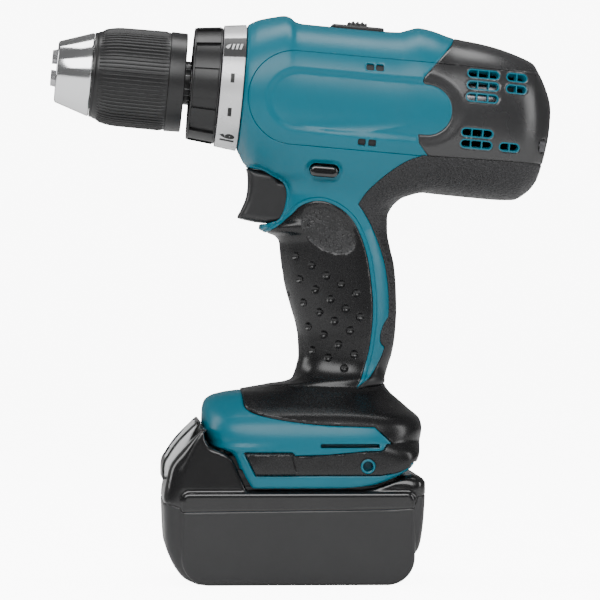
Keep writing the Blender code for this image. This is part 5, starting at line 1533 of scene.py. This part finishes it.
def build_battery():
    points, faces = skin(pack_shape, PACK_LOW, PACK_HIGH, GRID["pack"])

    def seam(x, y, z):
        return z - seam_height(x)

    points, faces = groove_all(points, faces, [(seam, (-SEAM_HALF, SEAM_HALF, -SEAM_REACH, SEAM_REACH))])
    middle = seam(*middle_of(points, faces))
    for mask, name, slot, wall, gone in (
            (middle < -SEAM_HALF, "battery_shell", "battery_plastic", 2.0, ("battery_case",)),
            (middle > SEAM_HALF, "battery_lid", "battery_gloss", 1.6, ("battery_cover",))):
        p, f = part_of(points, faces, mask)
        normal = outward(pack_shape, p, 0.3)
        p = p - normal * lip(seam(*p.T), SEAM_REACH, SEAM_SINK)[:, None]
        p, f = walled(p, f, normal, wall)
        mesh_piece(name, p, f, slot, "battery", gone, sharp=40)

    latch_side = flat_field(LATCH)

    def button_bed(x, y, z):
        along, above = on_slope(x, z)
        return np.maximum(off_box(along - 11.2, y, 10.2, BUTTON_SIDE + 0.35, 1.4), -2.3 - above)

    def latch_shape(x, y, z):
        block = shared(latch_side(x, z) + LATCH_RIM, np.abs(y) - 20.8, 0.8)
        return shared(block, -button_bed(x, y, z), 0.3)

    def bezel_shape(x, y, z):
        rim = np.abs(latch_side(x, z) + LATCH_RIM / 2) - LATCH_RIM / 2 - 0.05
        return shared(shared(rim, np.abs(y) - 21.2, 0.4), -button_bed(x, y, z), 0.3)

    def button_shape(x, y, z):
        along, above = on_slope(x, z)
        plate = off_box(along - 13.0, y, 7.9, BUTTON_SIDE, 1.2)
        dish = 0.55 * np.clip(1 - ((along - 13.0) / 6.4) ** 2 - (y / 15.0) ** 2, 0, 1)
        return shared(plate, np.abs(above + 0.9 + dish / 2) - 1.1 + dish / 2, 0.5)

    mesh_piece("latch_surround", *skin(latch_shape, *LATCH_BOX, GRID["latch"]), "button_plastic",
               "battery", sharp=40)
    mesh_piece("latch_bezel", *skin(bezel_shape, *LATCH_BOX, GRID["bezel"]), "battery_gloss",
               "battery", sharp=40)
    mesh_piece("latch_button", *skin(button_shape, (-58, -20.5, 51), (-39, 20.5, 71), GRID["latch"]),
               "button_plastic",
               "battery_button", ("battery_button",), sharp=40)
    build_tower()


def build_tower():
    """The block on top of the battery that carries the rails' grooves and the contact slots."""
    half = ((0, 56.6), (28.6, 56.6), (29.9, 55.4), (29.9, 49.5), (32.9, 49.5), (33.0, 46.1), (30.9, 46.0),
            (30.9, 42.5), (33.5, 42.4), (33.5, 40.2), (0, 40.2))
    ring = [(-y, z) for y, z in half[:0:-1] if y] + [(y, z) for y, z in half if y]
    n = len(ring)
    ends = (-31.6, -29.9, 42.6, 43.8)
    points, faces = [], []
    for k, x in enumerate(ends):
        inset = 1.1 if k in (0, 3) else 0.0
        for y, z in ring:
            points.append((x, y - math.copysign(inset, y), z - (inset if z > 48 else 0)))
    for k in range(len(ends) - 1):
        for i in range(n):
            a, b = k * n + i, k * n + (i + 1) % n
            faces += [(a, b, b + n), (a, b + n, a + n)]
    work = bmesh.new()
    verts = [work.verts.new(p) for p in points]
    for f in faces:
        work.faces.new([verts[i] for i in f])
    work.faces.new(verts[:n])
    work.faces.new(verts[-n:])
    bmesh.ops.recalc_face_normals(work, faces=work.faces)
    bmesh.ops.triangulate(work, faces=work.faces)
    work.verts.index_update()
    p = np.array([v.co[:] for v in work.verts])
    f = np.array([[v.index for v in face.verts] for face in work.faces])
    work.free()
    slots = []
    for y in (-15.0, 0.0, 15.0):
        corners = np.array([(a, b, c) for a in (8.0, 46.0) for b in (y - 1.2, y + 1.2) for c in (47.0, 58.0)])
        slots.append((corners, np.array([(0, 1, 3), (0, 3, 2), (4, 6, 7), (4, 7, 5), (0, 4, 5), (0, 5, 1),
                                         (2, 3, 7), (2, 7, 6), (0, 2, 6), (0, 6, 4), (1, 5, 7), (1, 7, 3)])))
    placed(carved(p, f, slots), "battery_tower", "battery_plastic", "battery", sharp=30)


def paint_kept_nodes():
    """Each carried-over node takes the finish of its own slot."""
    slots = [row.get("slot") for row in frame["record"].get("materials", [])]
    for node in frame["nodes"].values():
        for holder in node.material_slots:
            found = [s for s in slots if s and holder.material and holder.material.name.startswith(s)]
            if found:
                holder.material = FINISH[found[0]]


build_scale()
build_knob()
build_sleeve()
build_nose()
build_controls()
build_battery()
paint_kept_nodes()
build_body()

# ---- floor, light and camera -------------------------------------------------------------
BACKDROP, AMBIENT = 9.0, 0.16
FLOOR_HALF, SWEEP_START, SWEEP_R, SWEEP_STEPS, WALL_HIGH = 6.0, 4.2, 0.9, 24, 6.0
LAMPS = (("front_box", (-0.25, -1.15, 0.95), (0.0, 0, 0.14), (1.5, 0.75), 20),
         ("top_box", (0.0, 0.15, 1.3), (0.0, 0, 0.14), (1.0, 0.5), 9),
         ("right_box", (1.1, -0.55, 0.55), (0.02, 0, 0.12), (0.35, 0.9), 5),
         ("left_box", (-1.0, 0.25, 0.6), (-0.05, 0, 0.15), (0.4, 0.8), 4))
CAMERA_AT, CAMERA_AWAY, CAMERA_TURN, CAMERA_RISE = (3.9, 122.1), 1.9, math.radians(-3.0), math.radians(0.6)
FRAME_WIDE = 0.2616


def soft_lamp(name, place, aim, size, power):
    lamp = bpy.data.lights.new(name, "AREA")
    lamp.shape = "RECTANGLE"
    lamp.size, lamp.size_y = size
    lamp.energy = power
    holder = in_scene(name, lamp)
    holder.location = place
    holder.rotation_euler = (Vector(aim) - Vector(place)).to_track_quat("-Z", "Y").to_euler()


def seen_bright(tree, strength):
    """A strength that only the camera sees, so the backdrop's white doesn't flood the tool."""
    path = tree.nodes.new("ShaderNodeLightPath")
    scale = tree.nodes.new("ShaderNodeMath")
    scale.operation = "MULTIPLY"
    scale.inputs[1].default_value = strength
    tree.links.new(path.outputs["Is Camera Ray"], scale.inputs[0])
    return scale.outputs[0]


def build_floor():
    """A sheet of paper that curves up into a wall well behind the tool."""
    rows = []
    for side in (-FLOOR_HALF, FLOOR_HALF):
        row = [(side, -FLOOR_HALF, 0.0), (side, SWEEP_START, 0.0)]
        row += [(side, SWEEP_START + SWEEP_R * math.sin(t), SWEEP_R - SWEEP_R * math.cos(t))
                for t in np.linspace(0, math.pi / 2, SWEEP_STEPS)[1:]]
        row.append((side, SWEEP_START + SWEEP_R, WALL_HIGH))
        rows.append(row)
    n = len(rows[0])
    data = bpy.data.meshes.new("studio_floor")
    data.from_pydata(rows[0] + rows[1], [], [(i, n + i, n + i + 1, i + 1) for i in range(n - 1)])
    data.polygons.foreach_set("use_smooth", np.ones(len(data.polygons), bool))
    paper = bpy.data.materials.new("white_paper")
    paper.use_nodes = True
    shader = paper.node_tree.nodes["Principled BSDF"]
    shader.inputs["Base Color"].default_value = (0.93, 0.93, 0.93, 1)
    shader.inputs["Roughness"].default_value = 0.9
    shader.inputs["Emission Color"].default_value = (1, 1, 1, 1)
    paper.node_tree.links.new(seen_bright(paper.node_tree, BACKDROP), shader.inputs["Emission Strength"])
    data.materials.append(paper)
    in_scene("studio_floor", data)


def build_world():
    world = bpy.data.worlds.new("studio")
    bpy.context.scene.world = world
    world.use_nodes = True
    tree = world.node_tree
    sky = tree.nodes["Background"]
    sky.inputs["Color"].default_value = (1, 1, 1, 1)
    ambient = tree.nodes.new("ShaderNodeMath")
    ambient.inputs[1].default_value = AMBIENT
    tree.links.new(seen_bright(tree, BACKDROP), ambient.inputs[0])
    tree.links.new(ambient.outputs[0], sky.inputs["Strength"])


def build_camera():
    lens = bpy.data.cameras.new("camera")
    lens.sensor_width = 36.0
    lens.lens = 36.0 * CAMERA_AWAY / FRAME_WIDE
    holder = in_scene("camera", lens)
    aim = Vector((CAMERA_AT[0] * MM, 0, CAMERA_AT[1] * MM))
    level = math.cos(CAMERA_RISE)
    back = Vector((math.sin(CAMERA_TURN) * level, -math.cos(CAMERA_TURN) * level, math.sin(CAMERA_RISE)))
    holder.location = aim + back * CAMERA_AWAY
    holder.rotation_euler = (-back).to_track_quat("-Z", "Y").to_euler()
    lens.clip_end = 20
    bpy.context.scene.camera = holder


build_floor()
build_world()
for row in LAMPS:
    soft_lamp(*row)
build_camera()
